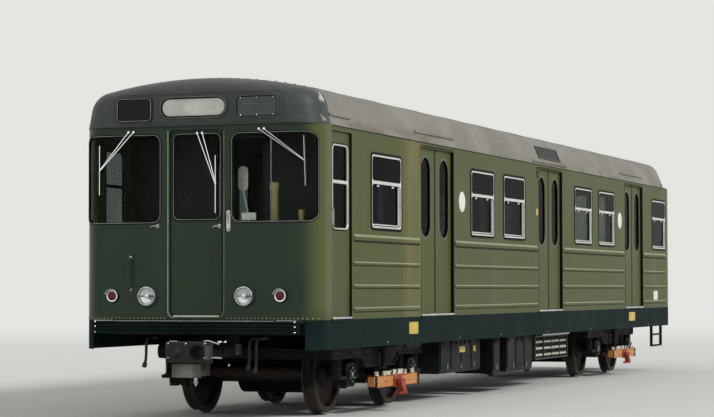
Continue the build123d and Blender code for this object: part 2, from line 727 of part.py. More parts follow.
# Bogies. Local to each: x along the car from the bogie's centre, z above the ground.
half_wheelbase = wheelbase / 2
wheel_inner_y = back_to_back / 2
wheel_outer_y = wheel_inner_y + rim_width
flange_radius = wheel_radius + flange_depth
rim_inner_radius = wheel_radius - rim_depth
web_middle_y = wheel_inner_y + rim_width / 2
spring_offset = 270
spring_radius = 68
spring_wire_radius = 13
spring_turns = 6
wing_thickness = 40
wing_half_length = 350
wing_drop = 10
spring_seat_rim = 10
spring_seat_thickness = 14
cover_radius = 98
cover_thickness = 18
side_frame_z = (axle_z + 182, axle_z + 342)
side_frame_middle_drop = 120
side_frame_flat = half_wheelbase - 550
side_frame_rise = half_wheelbase - 400
side_frame_bend = 60
side_frame_flange = 26
side_frame_pocket = 14
bogie_half_length = half_wheelbase + wheel_radius + 80
headstock_width = 60
headstock_height = 120
transom_x = 250
transom_width = 110
centre_block = 420
pin_clearance = 3

# Secondary springs on their plank, a damper at each side, and tread brakes at each wheel
plank_half_length = 290
plank_y = 990
plank_z = (axle_z - 128, axle_z - 88)
bolster_spring_at = (200, 870)
bolster_spring_radius = 80
bolster_spring_turns = 5
damper_radius = 32
damper_y = 1115
damper_eye = 30
brake_gap = 8
brake_block_thickness = 45
brake_block_half_height = 130
brake_flange_gap = 10
brake_rim_inset = 10
brake_hanger_width = 50
brake_hanger_depth = 40
brake_hanger_drop = 60
brake_arm_z = (axle_z + 162, axle_z + 202)


def spring_stack(places, z_low, z_high, radius, turns):
    """Coil springs on end: a core with its turns standing out round it, at each of a list of places."""
    with Locations([(x, y, z_low) for x, y in places]):
        Cylinder(radius - spring_wire_radius, z_high - z_low, align=(Align.CENTER, Align.CENTER, Align.MIN))
    pitch = (z_high - z_low) / turns
    with Locations([(x, y, z_low + (n + 0.5) * pitch) for x, y in places for n in range(turns)]):
        Torus(radius - spring_wire_radius, spring_wire_radius)


def make_wheelset(x_axle):
    """An axle with its two wheels and journals, turned as one profile."""
    with BuildPart() as wheelset:
        with BuildSketch(Plane.YZ) as profile:
            with BuildLine():
                web_outer = web_middle_y + web_thickness / 2
                web_inner = web_middle_y - web_thickness / 2
                hub_outer = web_middle_y + hub_length / 2
                hub_inner = web_middle_y - hub_length / 2
                Polyline((0, 0), (journal_end_y, 0), (journal_end_y, journal_radius),
                         (axlebox_inner, journal_radius), (axlebox_inner, axle_radius),
                         (hub_outer, axle_radius), (hub_outer, hub_radius),
                         (web_outer, hub_radius + web_thickness), (web_outer, rim_inner_radius),
                         (wheel_outer_y, rim_inner_radius),
                         (wheel_outer_y, wheel_radius), (wheel_inner_y + flange_thickness, wheel_radius),
                         (wheel_inner_y + flange_thickness * 0.6, flange_radius),
                         (wheel_inner_y, flange_radius), (wheel_inner_y, rim_inner_radius),
                         (web_inner, rim_inner_radius), (web_inner, hub_radius + web_thickness),
                         (hub_inner, hub_radius), (hub_inner, axle_radius), (0, axle_radius), close=True)
            make_face()
            mirror(about=Plane.YZ)
        revolve(axis=Axis.Y)
    return Location((x_axle, 0, axle_z)) * wheelset.part


def side_frame_outline(y_plane, inset):
    """Outline of a cranked side frame on a plane at a distance from the centre line, drawn in by an inset."""
    z_low, z_high = side_frame_z
    middle_low = z_low - side_frame_middle_drop
    middle_high = z_high - side_frame_middle_drop / 2
    with BuildSketch(Plane.XZ.offset(-y_plane)) as outline:
        with BuildLine():
            right_end = [(side_frame_flat, middle_low), (side_frame_rise, z_low),
                         (bogie_half_length, z_low), (bogie_half_length, z_high),
                         (side_frame_rise, z_high), (side_frame_flat, middle_high)]
            left_end = [(-x, z) for x, z in reversed(right_end)]
            FilletPolyline(*right_end, *left_end, radius=side_frame_bend, close=True)
        make_face()
        if inset:
            offset(amount=-inset)
    return outline.sketch


def brake_gear(x_axle, way):
    """The two brake blocks of a left wheel, with their hangers from the transom and from the headstock."""
    block_y = (wheel_inner_y + flange_thickness + brake_flange_gap, wheel_outer_y - brake_rim_inset)
    block_radius = wheel_radius + brake_gap + brake_block_thickness
    with BuildSketch(Plane.XZ.offset(-block_y[1])) as blocks:
        with Locations((x_axle, axle_z)):
            Circle(block_radius)
            Circle(wheel_radius + brake_gap, mode=Mode.SUBTRACT)
            Rectangle(2 * block_radius, 2 * brake_block_half_height, mode=Mode.INTERSECT)
    extrude(blocks.sketch, amount=block_y[1] - block_y[0])
    hanger_y = (sum(block_y) / 2 - brake_hanger_width / 2, sum(block_y) / 2 + brake_hanger_width / 2)
    z_hanger = axle_z - brake_hanger_drop
    x_inner = x_axle - way * block_radius
    x_outer = x_axle + way * block_radius
    for x_block, z_top in ((x_inner, brake_arm_z[1]), (x_outer, side_frame_z[0])):
        x_pair = (x_block - brake_hanger_depth / 2, x_block + brake_hanger_depth / 2)
        box_between(x_pair, hanger_y, (z_hanger, z_top))
    box_between((way * transom_x, x_inner), hanger_y, brake_arm_z)


def make_bogie_frame(x_bogie):
    """The H of the bogie: side frames, transoms, pivot block, headstocks, plank, dampers and brakes."""
    z_low, z_high = side_frame_z
    frame_outer_y = side_frame_y + side_frame_thickness / 2
    spring_x, spring_y = bolster_spring_at
    with BuildPart() as frame:
        extrude(side_frame_outline(frame_outer_y, 0), amount=side_frame_thickness)
        extrude(side_frame_outline(frame_outer_y, side_frame_flange), amount=side_frame_pocket,
                mode=Mode.SUBTRACT)
        spring_stack([(spring_x, spring_y), (-spring_x, spring_y)], plank_z[1], transom_z[0],
                     bolster_spring_radius, bolster_spring_turns)
        middle_high = z_high - side_frame_middle_drop / 2
        with Locations((0, damper_y, plank_z[0])):
            Cylinder(damper_radius, middle_high - plank_z[0], align=(Align.CENTER, Align.CENTER, Align.MIN))
        box_between((-damper_eye, damper_eye), (plank_y - damper_eye, damper_y), plank_z)
        box_between((-damper_eye, damper_eye), (frame_outer_y - side_frame_pocket, damper_y),
                    (middle_high - 2 * damper_eye, middle_high - damper_eye))
        for way in (1, -1):
            brake_gear(way * half_wheelbase, way)
        mirror(about=Plane.XZ)
        box_between((-plank_half_length, plank_half_length), (-plank_y, plank_y), plank_z)
        for x_beam in (transom_x, -transom_x):
            x_pair = (x_beam - transom_width / 2, x_beam + transom_width / 2)
            box_between(x_pair, (-side_frame_y, side_frame_y), transom_z)
        box_between((-transom_x, transom_x), (-centre_block / 2, centre_block / 2), transom_z)
        for end in (1, -1):
            x_pair = (end * (bogie_half_length - headstock_width), end * bogie_half_length)
            box_between(x_pair, (-side_frame_y, side_frame_y), (z_low, z_low + headstock_height))
        with Locations((0, 0, transom_z[0])):
            Cylinder(pin_radius + pin_clearance, transom_z[1] - transom_z[0],
                     align=(Align.CENTER, Align.CENTER, Align.MIN), mode=Mode.SUBTRACT)
    return Location((x_bogie, 0, 0)) * frame.part


def make_axleboxes(x_bogie):
    """Four axleboxes, each with its cover, its spring seats and a spring at either side."""
    with BuildPart() as boxes:
        z_wing = axle_z - wing_drop
        for x_axle in (half_wheelbase, -half_wheelbase):
            with BuildSketch(Plane.XZ.offset(-axlebox_inner - axlebox_width)) as box_outline:
                with Locations((x_axle, axle_z)):
                    RectangleRounded(axlebox_size, axlebox_size, axlebox_size / 4)
                with Locations((x_axle, z_wing - wing_thickness / 2)):
                    Rectangle(2 * wing_half_length, wing_thickness)
            extrude(box_outline.sketch, amount=axlebox_width)
            with BuildSketch(Plane.XZ.offset(-axlebox_inner - axlebox_width)) as cover:
                with Locations((x_axle, axle_z)):
                    Circle(cover_radius)
            extrude(cover.sketch, amount=-cover_thickness, taper=20)
            with Locations(Plane(origin=(x_axle, axlebox_inner, axle_z), x_dir=(1, 0, 0), z_dir=(0, 1, 0))):
                bore_length = journal_end_y - axlebox_inner + axlebox_clearance
                Cylinder(journal_radius + axlebox_clearance, bore_length,
                         align=(Align.CENTER, Align.CENTER, Align.MIN), mode=Mode.SUBTRACT)
            spring_places = [(x_axle + way * spring_offset, side_frame_y) for way in (1, -1)]
            with Locations([(x, y, z_wing) for x, y in spring_places]):
                Cylinder(spring_radius + spring_seat_rim, spring_seat_thickness,
                         align=(Align.CENTER, Align.CENTER, Align.MIN))
            spring_stack(spring_places, z_wing + spring_seat_thickness, side_frame_z[0], spring_radius,
                         spring_turns)
        mirror(about=Plane.XZ)
    return Location((x_bogie, 0, 0)) * boxes.part


motor_radius = 235
motor_half_length = 420
motor_x = half_wheelbase - 500
motor_nose = 60


def make_motors(x_bogie):
    """Two axle-hung traction motors as plain blocks, each with the nose that rests on the transom."""
    with BuildPart() as motors:
        with Locations(Plane(origin=(motor_x, 0, axle_z), x_dir=(1, 0, 0), z_dir=(0, 1, 0))):
            Cylinder(motor_radius, 2 * motor_half_length)
        box_between((transom_x + transom_width / 2, motor_x), (-motor_nose, motor_nose),
                    (transom_z[0], transom_z[0] + motor_nose))
        mirror(about=Plane.YZ)
    return Location((x_bogie, 0, 0)) * motors.part


# Collector gear. The beam hangs from the spring seats of the axleboxes, and the collector from its middle.
shoe_beam_length = wheelbase - 510
shoe_beam_thickness = 80
shoe_beam_height = 125
shoe_beam_bevel = 35
shoe_beam_y = half_width - 150
h_shoe_beam = 270
beam_bracket_x = half_wheelbase - 310
beam_bracket_size = (60, 45)
strap_thickness = 8
collector_plate = (300, 14)
collector_lug = (90, 22, 62)
collector_pin_radius = 13
collector_pin_offset = (42, 52)
collector_arm_width = 110
collector_arm_wall = 24
h_shoe = 172
shoe_size = (260, 80, 26)


def make_collector_gear(x_bogie):
    """A timber beam at each side, its brackets and straps, and the collector with its hinged arm and shoe."""
    bracket_length, bracket_height = beam_bracket_size
    plate_length, plate_thickness = collector_plate
    lug_x, lug_thickness, lug_reach = collector_lug
    shoe_length, shoe_width, shoe_thickness = shoe_size
    z_beam = z_at(h_shoe_beam)
    z_beam_top = z_beam + shoe_beam_height
    z_wing = axle_z - wing_drop
    outer = shoe_beam_y + shoe_beam_thickness / 2
    inner = shoe_beam_y - shoe_beam_thickness / 2
    pin_y = outer + collector_pin_offset[0]
    pin_z = z_beam + collector_pin_offset[1]
    with BuildPart() as gear:
        with BuildSketch(Plane.XZ.offset(-outer)) as beam:
            with Locations((0, z_beam + shoe_beam_height / 2)):
                Rectangle(shoe_beam_length, shoe_beam_height)
            chamfer(beam.vertices().group_by(Axis.Y)[0], shoe_beam_bevel)
        extrude(beam.sketch, amount=shoe_beam_thickness)
        for way in (1, -1):
            x_pair = (way * beam_bracket_x - bracket_length / 2, way * beam_bracket_x + bracket_length / 2)
            box_between(x_pair, (axlebox_inner + axlebox_width, inner), (z_wing - wing_thickness, z_wing))
            box_between(x_pair, (inner - strap_thickness, outer + strap_thickness),
                        (z_beam - strap_thickness, z_beam_top + strap_thickness))
            x_pair = (way * lug_x - lug_thickness / 2, way * lug_x + lug_thickness / 2)
            box_between(x_pair, (outer, outer + lug_reach),
                        (pin_z - bracket_height / 2, pin_z + bracket_height / 2))
        box_between((-plate_length / 2, plate_length / 2), (outer, outer + plate_thickness),
                    (z_beam - plate_thickness, z_beam_top - plate_thickness))
        with Locations(Plane(origin=(0, pin_y, pin_z), x_dir=(0, 1, 0), z_dir=(1, 0, 0))):
            Cylinder(collector_pin_radius, 2 * lug_x + 2 * lug_thickness)
        with BuildSketch(Plane.YZ.offset(-collector_arm_width / 2)) as arm:
            with BuildLine():
                shoe_top = z_at(h_shoe) + shoe_thickness
                FilletPolyline((pin_y - collector_arm_wall, pin_z + collector_arm_wall),
                               (pin_y + collector_arm_wall, pin_z + collector_arm_wall),
                               (outer + shoe_width + collector_arm_wall / 2, shoe_top + collector_arm_wall),
                               (outer + shoe_width + collector_arm_wall / 2, z_at(h_shoe)),
                               (outer + collector_arm_wall, z_at(h_shoe)),
                               (outer + collector_arm_wall, shoe_top + collector_arm_wall),
                               radius=collector_arm_wall / 3, close=True)
            make_face()
        extrude(arm.sketch, amount=collector_arm_width)
        box_between((-shoe_length / 2, shoe_length / 2), (outer + collector_arm_wall / 2, outer + shoe_width),
                    (z_at(h_shoe), shoe_top))
        mirror(about=Plane.XZ)
    return Location((x_bogie, 0, 0)) * gear.part


for name, x_bogie in (("front", bogie_centre), ("rear", -bogie_centre)):
    save(make_bogie_frame(x_bogie), f"{name}_bogie_frame")
    save(make_axleboxes(x_bogie), f"{name}_axleboxes")
    save(make_motors(x_bogie), f"{name}_traction_motors")
    save(make_collector_gear(x_bogie), f"{name}_collector_gear")
    save(make_wheelset(x_bogie + wheelbase / 2), f"{name}_bogie_front_wheelset")
    save(make_wheelset(x_bogie - wheelbase / 2), f"{name}_bogie_rear_wheelset")

# Couplers: an eye on the draw pin, a round shank with its draft gear, and the head with its cone, its funnel,
# its guide horn and the electric box below it
shank_radius = 55
draft_gear = (82, 60, 260)
head_length = 340
head_neck_width = 280
head_flare_length = 190
head_bevel = 12
cone_y = 122
coupler_cone = (62, 34, 60)
coupler_funnel = (86, 42, 110)
guide_horn = (110, 50, 28, 150)
pipe_valve = (70, 26, 8)
electric_box = (300, 300, 140)
electric_lid = (24, 14)
pivot_x = half_length - coupler_pivot_s
coupler_face_x = half_length + coupler_overhang
z_coupler = z_at(h_coupler)
with BuildPart() as front_coupler:
    with Locations((pivot_x, 0, z_coupler)):
        Cylinder(coupler_eye_radius, coupler_eye_height)
    gear_radius, gear_start, gear_length = draft_gear
    along_x = Plane(origin=(pivot_x, 0, z_coupler), x_dir=(0, 1, 0), z_dir=(1, 0, 0))
    with BuildSketch(along_x) as shank:
        Circle(shank_radius)
    extrude(shank.sketch, amount=coupler_face_x - head_length - pivot_x)
    with BuildSketch(along_x.offset(coupler_eye_radius + gear_start)) as gear_case:
        Circle(gear_radius)
    extrude(gear_case.sketch, amount=gear_length)
    with BuildSketch(Plane.XY.offset(z_coupler - coupler_head_height / 2)) as head:
        with BuildLine():
            x_neck = coupler_face_x - head_length
            x_flare = x_neck + head_flare_length
            Polyline((x_neck, -head_neck_width / 2), (x_flare, -coupler_head_width / 2),
                     (coupler_face_x, -coupler_head_width / 2), (coupler_face_x, coupler_head_width / 2),
                     (x_flare, coupler_head_width / 2), (x_neck, head_neck_width / 2), close=True)
        make_face()
    extrude(head.sketch, amount=coupler_head_height)
    chamfer(front_coupler.faces().sort_by(Axis.X)[-1].edges(), head_bevel)
    with BuildSketch(Plane.XY.offset(z_coupler - guide_horn[3] / 2)) as horn:
        with BuildLine():
            horn_length, horn_reach, horn_width, horn_height = guide_horn
            horn_inner = coupler_head_width / 2 - head_bevel
            Polyline((coupler_face_x - horn_length, horn_inner), (coupler_face_x - head_bevel, horn_inner),
                     (coupler_face_x + horn_reach, horn_inner + horn_width / 2),
                     (coupler_face_x + horn_reach, horn_inner + horn_width),
                     (coupler_face_x - horn_length, horn_inner + horn_width), close=True)
        make_face()
    extrude(horn.sketch, amount=horn_height)
    face_plane = Plane(origin=(coupler_face_x, 0, z_coupler), x_dir=(0, 1, 0), z_dir=(1, 0, 0))
    with Locations(face_plane):
        with Locations((-cone_y, 0)):
            Cone(*coupler_cone, align=(Align.CENTER, Align.CENTER, Align.MIN))
        valve_offset, valve_radius, valve_rise = pipe_valve
        with Locations((0, valve_offset), (0, -valve_offset)):
            Cylinder(valve_radius, valve_rise, align=(Align.CENTER, Align.CENTER, Align.MIN))
        with Locations((cone_y, 0)):
            Cone(coupler_funnel[1], coupler_funnel[0], coupler_funnel[2],
                 align=(Align.CENTER, Align.CENTER, Align.MAX), mode=Mode.SUBTRACT)
    box_length, box_width, box_height = electric_box
    lid_thickness, lid_overlap = electric_lid
    z_head_bottom = z_coupler - coupler_head_height / 2
    box_between((coupler_face_x - box_length, coupler_face_x - lid_thickness),
                (-box_width / 2, box_width / 2), (z_head_bottom - box_height, z_head_bottom))
    box_between((coupler_face_x - lid_thickness, coupler_face_x),
                (-box_width / 2 - lid_overlap, box_width / 2 + lid_overlap),
                (z_head_bottom - box_height - lid_overlap, z_head_bottom - lid_overlap))
    with Locations((pivot_x, 0, z_coupler)):
        Cylinder(draw_pin_radius + draw_pin_clearance, coupler_eye_height, mode=Mode.SUBTRACT)
save(front_coupler.part, "front_coupler")
with BuildPart() as rear_coupler:
    mirror(front_coupler.part, about=Plane.YZ)
save(rear_coupler.part, "rear_coupler")

# Seats: transverse benches in facing pairs, in the bays between the doorways and at the ends of the saloon.
# Station of the seat's back and the way it faces.
seat_bay = 1300
seat_backs_gap = 80
front_seats_s = s_partition + partition_thickness + 60
rear_seats_s = s_body_rear - end_wall_thickness - 60
seat_table = [(front_seats_s, -1), (front_seats_s + seat_bay, 1),
              (rear_seats_s - seat_bay, -1), (rear_seats_s, 1)]
for station in doorway_stations[:-1]:
    middle = station + doorway_pitch / 2
    seat_table += [(middle - seat_backs_gap / 2 - seat_bay, -1), (middle - seat_backs_gap / 2, 1),
                   (middle + seat_backs_gap / 2, -1), (middle + seat_backs_gap / 2 + seat_bay, 1)]
seat_width = 880
seat_wall_gap = 20
seat_depth = 470
seat_height = 440
cushion_thickness = 110
seat_back_height = 980
seat_back_thickness = 60
pedestal_setback = 120
driver_seat_reach = 410
driver_seat_y = (-720, -380)
driver_seat_z = (z_floor_top + 500, z_floor_top + 600)
driver_back_thickness = 80
with BuildPart() as seats:
    for s_back, way in seat_table:
        x_back = x_at(s_back)
        with BuildSketch(Plane.XZ.offset(seat_wall_gap - wall_inner_y)):
            with BuildLine():
                cushion_low = z_floor_top + seat_height - cushion_thickness
                FilletPolyline((x_back, cushion_low), (x_back + way * pedestal_setback, cushion_low),
                               (x_back + way * pedestal_setback, z_floor_top),
                               (x_back + way * (seat_depth - pedestal_setback), z_floor_top),
                               (x_back + way * (seat_depth - pedestal_setback), cushion_low),
                               (x_back + way * seat_depth, cushion_low),
                               (x_back + way * seat_depth, z_floor_top + seat_height),
                               (x_back + way * seat_back_thickness, z_floor_top + seat_height),
                               (x_back + way * seat_back_thickness, z_floor_top + seat_back_height),
                               (x_back, z_floor_top + seat_back_height), radius=4, close=True)
            make_face()
        extrude(amount=seat_width)
    mirror(about=Plane.XZ)
    # The driver's flap seat on the cab partition
    box_between((x_at(s_partition), x_at(s_partition - driver_seat_reach)), driver_seat_y, driver_seat_z)
    box_between((x_at(s_partition), x_at(s_partition - driver_back_thickness)), driver_seat_y,
                (driver_seat_z[1], z_floor_top + seat_back_height))
save(seats.part, "seats")

# Grab poles beside the doorways, floor to ceiling
pole_radius = 17
pole_y = wall_inner_y - seat_wall_gap - seat_width + 40
pole_offset = half_doorway + 122
with BuildPart() as grab_poles:
    for station in doorway_stations:
        for way in (1, -1):
            for side in (1, -1):
                with Locations((x_at(station) + way * pole_offset, side * pole_y, z_floor_top)):
                    Cylinder(pole_radius, z_at(ceiling_h) - z_floor_top,
                             align=(Align.CENTER, Align.CENTER, Align.MIN))
save(grab_poles.part, "grab_poles")

# Driver's desk, at the right of the end door
desk_s = (70, 400)
desk_y = (-(half_width - front_corner_radius + 50), -(end_door_width / 2 + 63.5))
desk_knee_space = 60
desk_height = 860
desk_top_height = 1000
with BuildPart() as drivers_desk:
    with BuildSketch(Plane.XZ.offset(-desk_y[1])):
        with BuildLine():
            Polyline((x_at(desk_s[0]), z_floor_top), (x_at(desk_s[0]), z_floor_top + desk_top_height),
                     (x_at(sum(desk_s) / 2), z_floor_top + desk_top_height),
                     (x_at(desk_s[1]), z_floor_top + desk_height),
                     (x_at(desk_s[1] - desk_knee_space), z_floor_top), close=True)
        make_face()
    extrude(amount=desk_y[1] - desk_y[0])
save(drivers_desk.part, "drivers_desk")

# Equipment hung under the floor: cases with raised covers along their outer sides, and air reservoirs.
# Cases: rear and front x, inner and outer y, bottom and top above the rail head.
equipment_outer_y = half_width - 150
equipment_table = (
    (-220, 1040, -equipment_outer_y, equipment_outer_y, 260, 750),
    (1360, 1680, 700, equipment_outer_y, 260, 750),
    (2100, 3800, 450, equipment_outer_y - 50, 330, 760),
    (1800, 3800, -equipment_outer_y, -400, 330, 760),
)
hanger_width = 60
case_bevel = 25
cover_bay = 420
cover_margin = 30
cover_rise = 10
cover_corner = 18
# Reservoirs: rear and front x, y of the axis, height of the axis, radius
reservoir_table = (
    (-3800, -2600, -equipment_outer_y + 180, 560, 165),
    (-3800, -2600, -equipment_outer_y + 600, 560, 165),
)
reservoir_end = 55
reservoir_strap = 50
with BuildPart() as equipment_cases:
    for x_rear, x_front, y_low, y_high, h_low, h_high in equipment_table:
        x_middle = (x_rear + x_front) / 2
        with BuildSketch(Plane.YZ.offset(x_rear)) as case_section:
            with Locations(((y_low + y_high) / 2, z_at((h_low + h_high) / 2))):
                Rectangle(y_high - y_low, h_high - h_low)
            chamfer(case_section.vertices().group_by(Axis.Y)[0], case_bevel)
        extrude(case_section.sketch, amount=x_front - x_rear)
        for x_hanger in (x_rear + hanger_width, x_front - hanger_width):
            box_between((x_hanger - hanger_width / 2, x_hanger + hanger_width / 2), (y_low, y_high),
                        (z_at(h_high), frame_bottom))
        bays = round((x_front - x_rear) / cover_bay)
        bay_length = (x_front - x_rear) / bays
        for y_face, outward in ((y_low, -1), (y_high, 1)):
            if abs(y_face) > half_width / 2:
                with BuildSketch(Plane.XZ.offset(-y_face)) as covers:
                    with Locations((x_middle, z_at((h_low + case_bevel + h_high) / 2))):
                        with GridLocations(bay_length, 1, bays, 1):
                            RectangleRounded(bay_length - 2 * cover_margin,
                                             h_high - h_low - case_bevel - 2 * cover_margin, cover_corner)
                extrude(covers.sketch, amount=-outward * cover_rise)
    for x_rear, x_front, y_axis, h_axis, radius in reservoir_table:
        with BuildSketch(Plane.XY.offset(z_at(h_axis))) as profile:
            with Locations(((x_rear + x_front) / 2, y_axis + radius / 2)):
                Rectangle(x_front - x_rear, radius)
            fillet(profile.vertices().group_by(Axis.Y)[-1], reservoir_end)
        revolve(profile.sketch, axis=Axis((0, y_axis, z_at(h_axis)), (1, 0, 0)))
        for x_strap in (x_rear + 4 * reservoir_strap, x_front - 4 * reservoir_strap):
            box_between((x_strap - reservoir_strap / 2, x_strap + reservoir_strap / 2),
                        (y_axis - radius - cover_rise, y_axis + radius + cover_rise),
                        (z_at(h_axis), frame_bottom))
save(equipment_cases.part, "equipment_cases")

# Brake resistor bank: four open cells in a frame on each side, with their grids on edge
resistor_x = (-2190, -430)
resistor_y = (half_width - 500, half_width - 150)
resistor_h = (380, 720)
resistor_cells = 4
resistor_wall = 18
grids_per_cell = 7
grid_thickness = 7
grid_setback = 30
with BuildPart() as resistor_bank:
    box_between(resistor_x, resistor_y, (z_at(resistor_h[0]), z_at(resistor_h[1])))
    cell_pitch = (resistor_x[1] - resistor_x[0] - resistor_wall) / resistor_cells
    cell_z = (z_at(resistor_h[0]) + resistor_wall, z_at(resistor_h[1]) - resistor_wall)
    cells = [resistor_x[0] + resistor_wall + n * cell_pitch for n in range(resistor_cells)]
    for x_cell in cells:
        box_between((x_cell, x_cell + cell_pitch - resistor_wall),
                    (resistor_y[0] + resistor_wall, resistor_y[1]), cell_z, mode=Mode.SUBTRACT)
    grid_pitch = (cell_pitch - resistor_wall) / (grids_per_cell + 1)
    for x_cell in cells:
        for n in range(1, grids_per_cell + 1):
            x_grid = x_cell + n * grid_pitch
            box_between((x_grid - grid_thickness / 2, x_grid + grid_thickness / 2),
                        (resistor_y[0] + resistor_wall, resistor_y[1] - grid_setback), cell_z)
    for x_hanger in (resistor_x[0] + hanger_width, resistor_x[1] - hanger_width):
        box_between((x_hanger - hanger_width / 2, x_hanger + hanger_width / 2), resistor_y,
                    (z_at(resistor_h[1]), frame_bottom))
    mirror(about=Plane.XZ)
save(resistor_bank.part, "resistor_bank")

# Steps hung from the frame behind the rear bogie
step_s = (s_body_rear - 1150, s_body_rear - 400)
step_y = (skirt_y - 50, skirt_y - 5)
step_h = (400, 590)
step_thickness = 30
with BuildPart() as access_steps:
    for side in (1, -1):
        y_pair = (side * step_y[0], side * step_y[1])
        for h_step in step_h:
            box_between((x_at(step_s[1]), x_at(step_s[0])), y_pair,
                        (z_at(h_step), z_at(h_step) + step_thickness))
        for s_post in (step_s[0] + step_thickness / 2, step_s[1] - step_thickness / 2):
            box_between((x_at(s_post) - step_thickness / 2, x_at(s_post) + step_thickness / 2), y_pair,
                        (z_at(step_h[0]), frame_bottom))
save(access_steps.part, "access_steps")

# Drip rails on the leaning sides of the roof, over the passenger doorways and the cab doors, and the louvre
# above the middle doorway. Height above the rail head and half length of the rail at each doorway.
drip_table = ((3276, 756), (3200, 890), (3277, 765))
drip_height = 22
drip_reach = 18
cab_drip_h = 3270
louvre_half_length = 575
louvre_middle_setback = 90
louvre_h = (3262, 3440)
louvre_rim = 18
louvre_rise = (4, 14, 10)
louvre_slats = 7
louvre_slat_share = 0.4


def roof_side_y(height):
    """Half width of the roof's leaning side at a height above the rail head."""
    return half_width - roof_lean * (height - h_cantrail) / (roof_corner_h - h_cantrail)


def dome_side_y(height):
    """Half width of the side at the back of the dome, at a height above the rail head."""
    station, overhang, lean, corner_h = dome_table[-1]
    return half_width - lean * (height - h_cantrail) / (corner_h - h_cantrail)


def drip_section(station, h_low, y_low, y_high):
    """Section of a drip rail, given where the roof's side is at its lower and upper edge."""
    with BuildSketch(Plane.YZ.offset(x_at(station))) as section:
        with BuildLine():
            Polyline((y_low, z_at(h_low)), (y_low + drip_reach, z_at(h_low)),
                     (y_low + drip_reach, z_at(h_low + drip_height)), (y_high, z_at(h_low + drip_height)),
                     close=True)
        make_face()
    return section.sketch


with BuildPart() as roof_fittings:
    for station, (h_drip, half_span) in zip(doorway_stations, drip_table):
        edges = (roof_side_y(h_drip), roof_side_y(h_drip + drip_height))
        extrude(drip_section(station + half_span, h_drip, *edges), amount=2 * half_span)
    cab_drip_edges = (cab_drip_h, cab_drip_h + drip_height)
    loft([drip_section(s_dome_rear, cab_drip_h, *[dome_side_y(h) for h in cab_drip_edges]),
          drip_section(s_roof_front, cab_drip_h, *[roof_side_y(h) for h in cab_drip_edges])])
    h_middle = sum(louvre_h) / 2
    slope = sqrt(roof_lean**2 + (roof_corner_h - h_cantrail)**2)
    louvre_height = (louvre_h[1] - louvre_h[0]) * slope / (roof_corner_h - h_cantrail)
    louvre_station = doorway_stations[len(doorway_stations) // 2] + louvre_middle_setback
    leaning_side = Plane(origin=(x_at(louvre_station), roof_side_y(h_middle), z_at(h_middle)),
                         x_dir=(1, 0, 0), z_dir=(0, roof_corner_h - h_cantrail, roof_lean))
    back_rise, rim_rise, slat_rise = louvre_rise
    with BuildSketch(leaning_side) as louvre_back:
        Rectangle(2 * louvre_half_length, louvre_height)
    extrude(louvre_back.sketch, amount=back_rise)
    with BuildSketch(leaning_side) as louvre_rim_sketch:
        Rectangle(2 * louvre_half_length, louvre_height)
        Rectangle(2 * (louvre_half_length - louvre_rim), louvre_height - 2 * louvre_rim, mode=Mode.SUBTRACT)
    extrude(louvre_rim_sketch.sketch, amount=rim_rise)
    with BuildSketch(leaning_side) as slats:
        slat_pitch = (louvre_height - 2 * louvre_rim) / louvre_slats
        with GridLocations(1, slat_pitch, 1, louvre_slats - 1):
            Rectangle(2 * (louvre_half_length - louvre_rim), slat_pitch * louvre_slat_share)
    extrude(slats.sketch, amount=slat_rise)
    mirror(about=Plane.XZ)
save(roof_fittings.part, "roof_fittings")

# Wipers: a pair of parallel arms and a blade, on bosses above each pane. They lie in planes turned a little
# about the vertical, so that the blades follow the panes round the corners of the cab.
wiper_boss_radius = 12
wiper_boss_height = 28
door_wiper_boss_height = 16
wiper_bar = 8
wiper_rod_gap = 60
wiper_glass_gap = 12
h_wiper_pivot = h_screen_bottom + screen_height + 35


def blade_turn(pivot_y, blade_y):
    """Angle that brings a blade back to the windscreen, from its pivot on the flat of the face."""
    glass_setback = screen_setback + corner_drop(abs(blade_y) - (half_width - front_corner_radius))
    drop = glass_setback - wiper_bar / 2 - wiper_glass_gap
    return degrees(asin(drop / (blade_y - pivot_y)))


def make_wiper(x_face, pivot, blade_middle, blade_half_length, boss_height, turn):
    """A wiper from its pivot, given as y and height, to its blade, on a plane turned about the vertical."""
    face = Plane(origin=(x_face, pivot[0], z_at(pivot[1])), x_dir=(0, 1, 0), z_dir=(1, 0, 0))
    reach = (blade_middle[0] - pivot[0], blade_middle[1] - pivot[1])
    with BuildPart() as wiper:
        with BuildSketch(face) as bosses:
            with Locations((0, 0), (wiper_rod_gap, 0)):
                Circle(wiper_boss_radius)
        extrude(bosses.sketch, amount=boss_height + wiper_bar)
        with BuildSketch(face.rotated((0, turn, 0)).offset(boss_height)) as arms:
            with BuildLine():
                Line((0, 0), reach)
                Line((wiper_rod_gap, 0), (reach[0] + wiper_bar, reach[1]))
            trace(line_width=wiper_bar)
        extrude(arms.sketch, amount=wiper_bar)
        with BuildSketch(face.rotated((0, turn, 0)).offset(-wiper_bar / 2)) as blade:
            with Locations(reach):
                Rectangle(wiper_bar, 2 * blade_half_length)
        extrude(blade.sketch, amount=boss_height + 1.5 * wiper_bar)
    return wiper.part


# Pivot y, blade y, height of the blade's middle, half length of the blade
wiper_table = ((screen_inner_y + 330, screen_outer_y - 98, 2762, 265),
               (-screen_inner_y - 370, -(screen_outer_y - 220), 2700, 270))
with BuildPart() as wipers:
    for pivot_y, blade_y, h_blade, blade_half_length in wiper_table:
        add(make_wiper(x_front_face, (pivot_y, h_wiper_pivot), (blade_y, h_blade), blade_half_length,
                       wiper_boss_height, blade_turn(pivot_y, blade_y)))
save(wipers.part, "wipers")
save(make_wiper(x_at(end_door_setback), (10, 3085), (225, 2530), 310, door_wiper_boss_height, 0),
     "end_door_wiper")

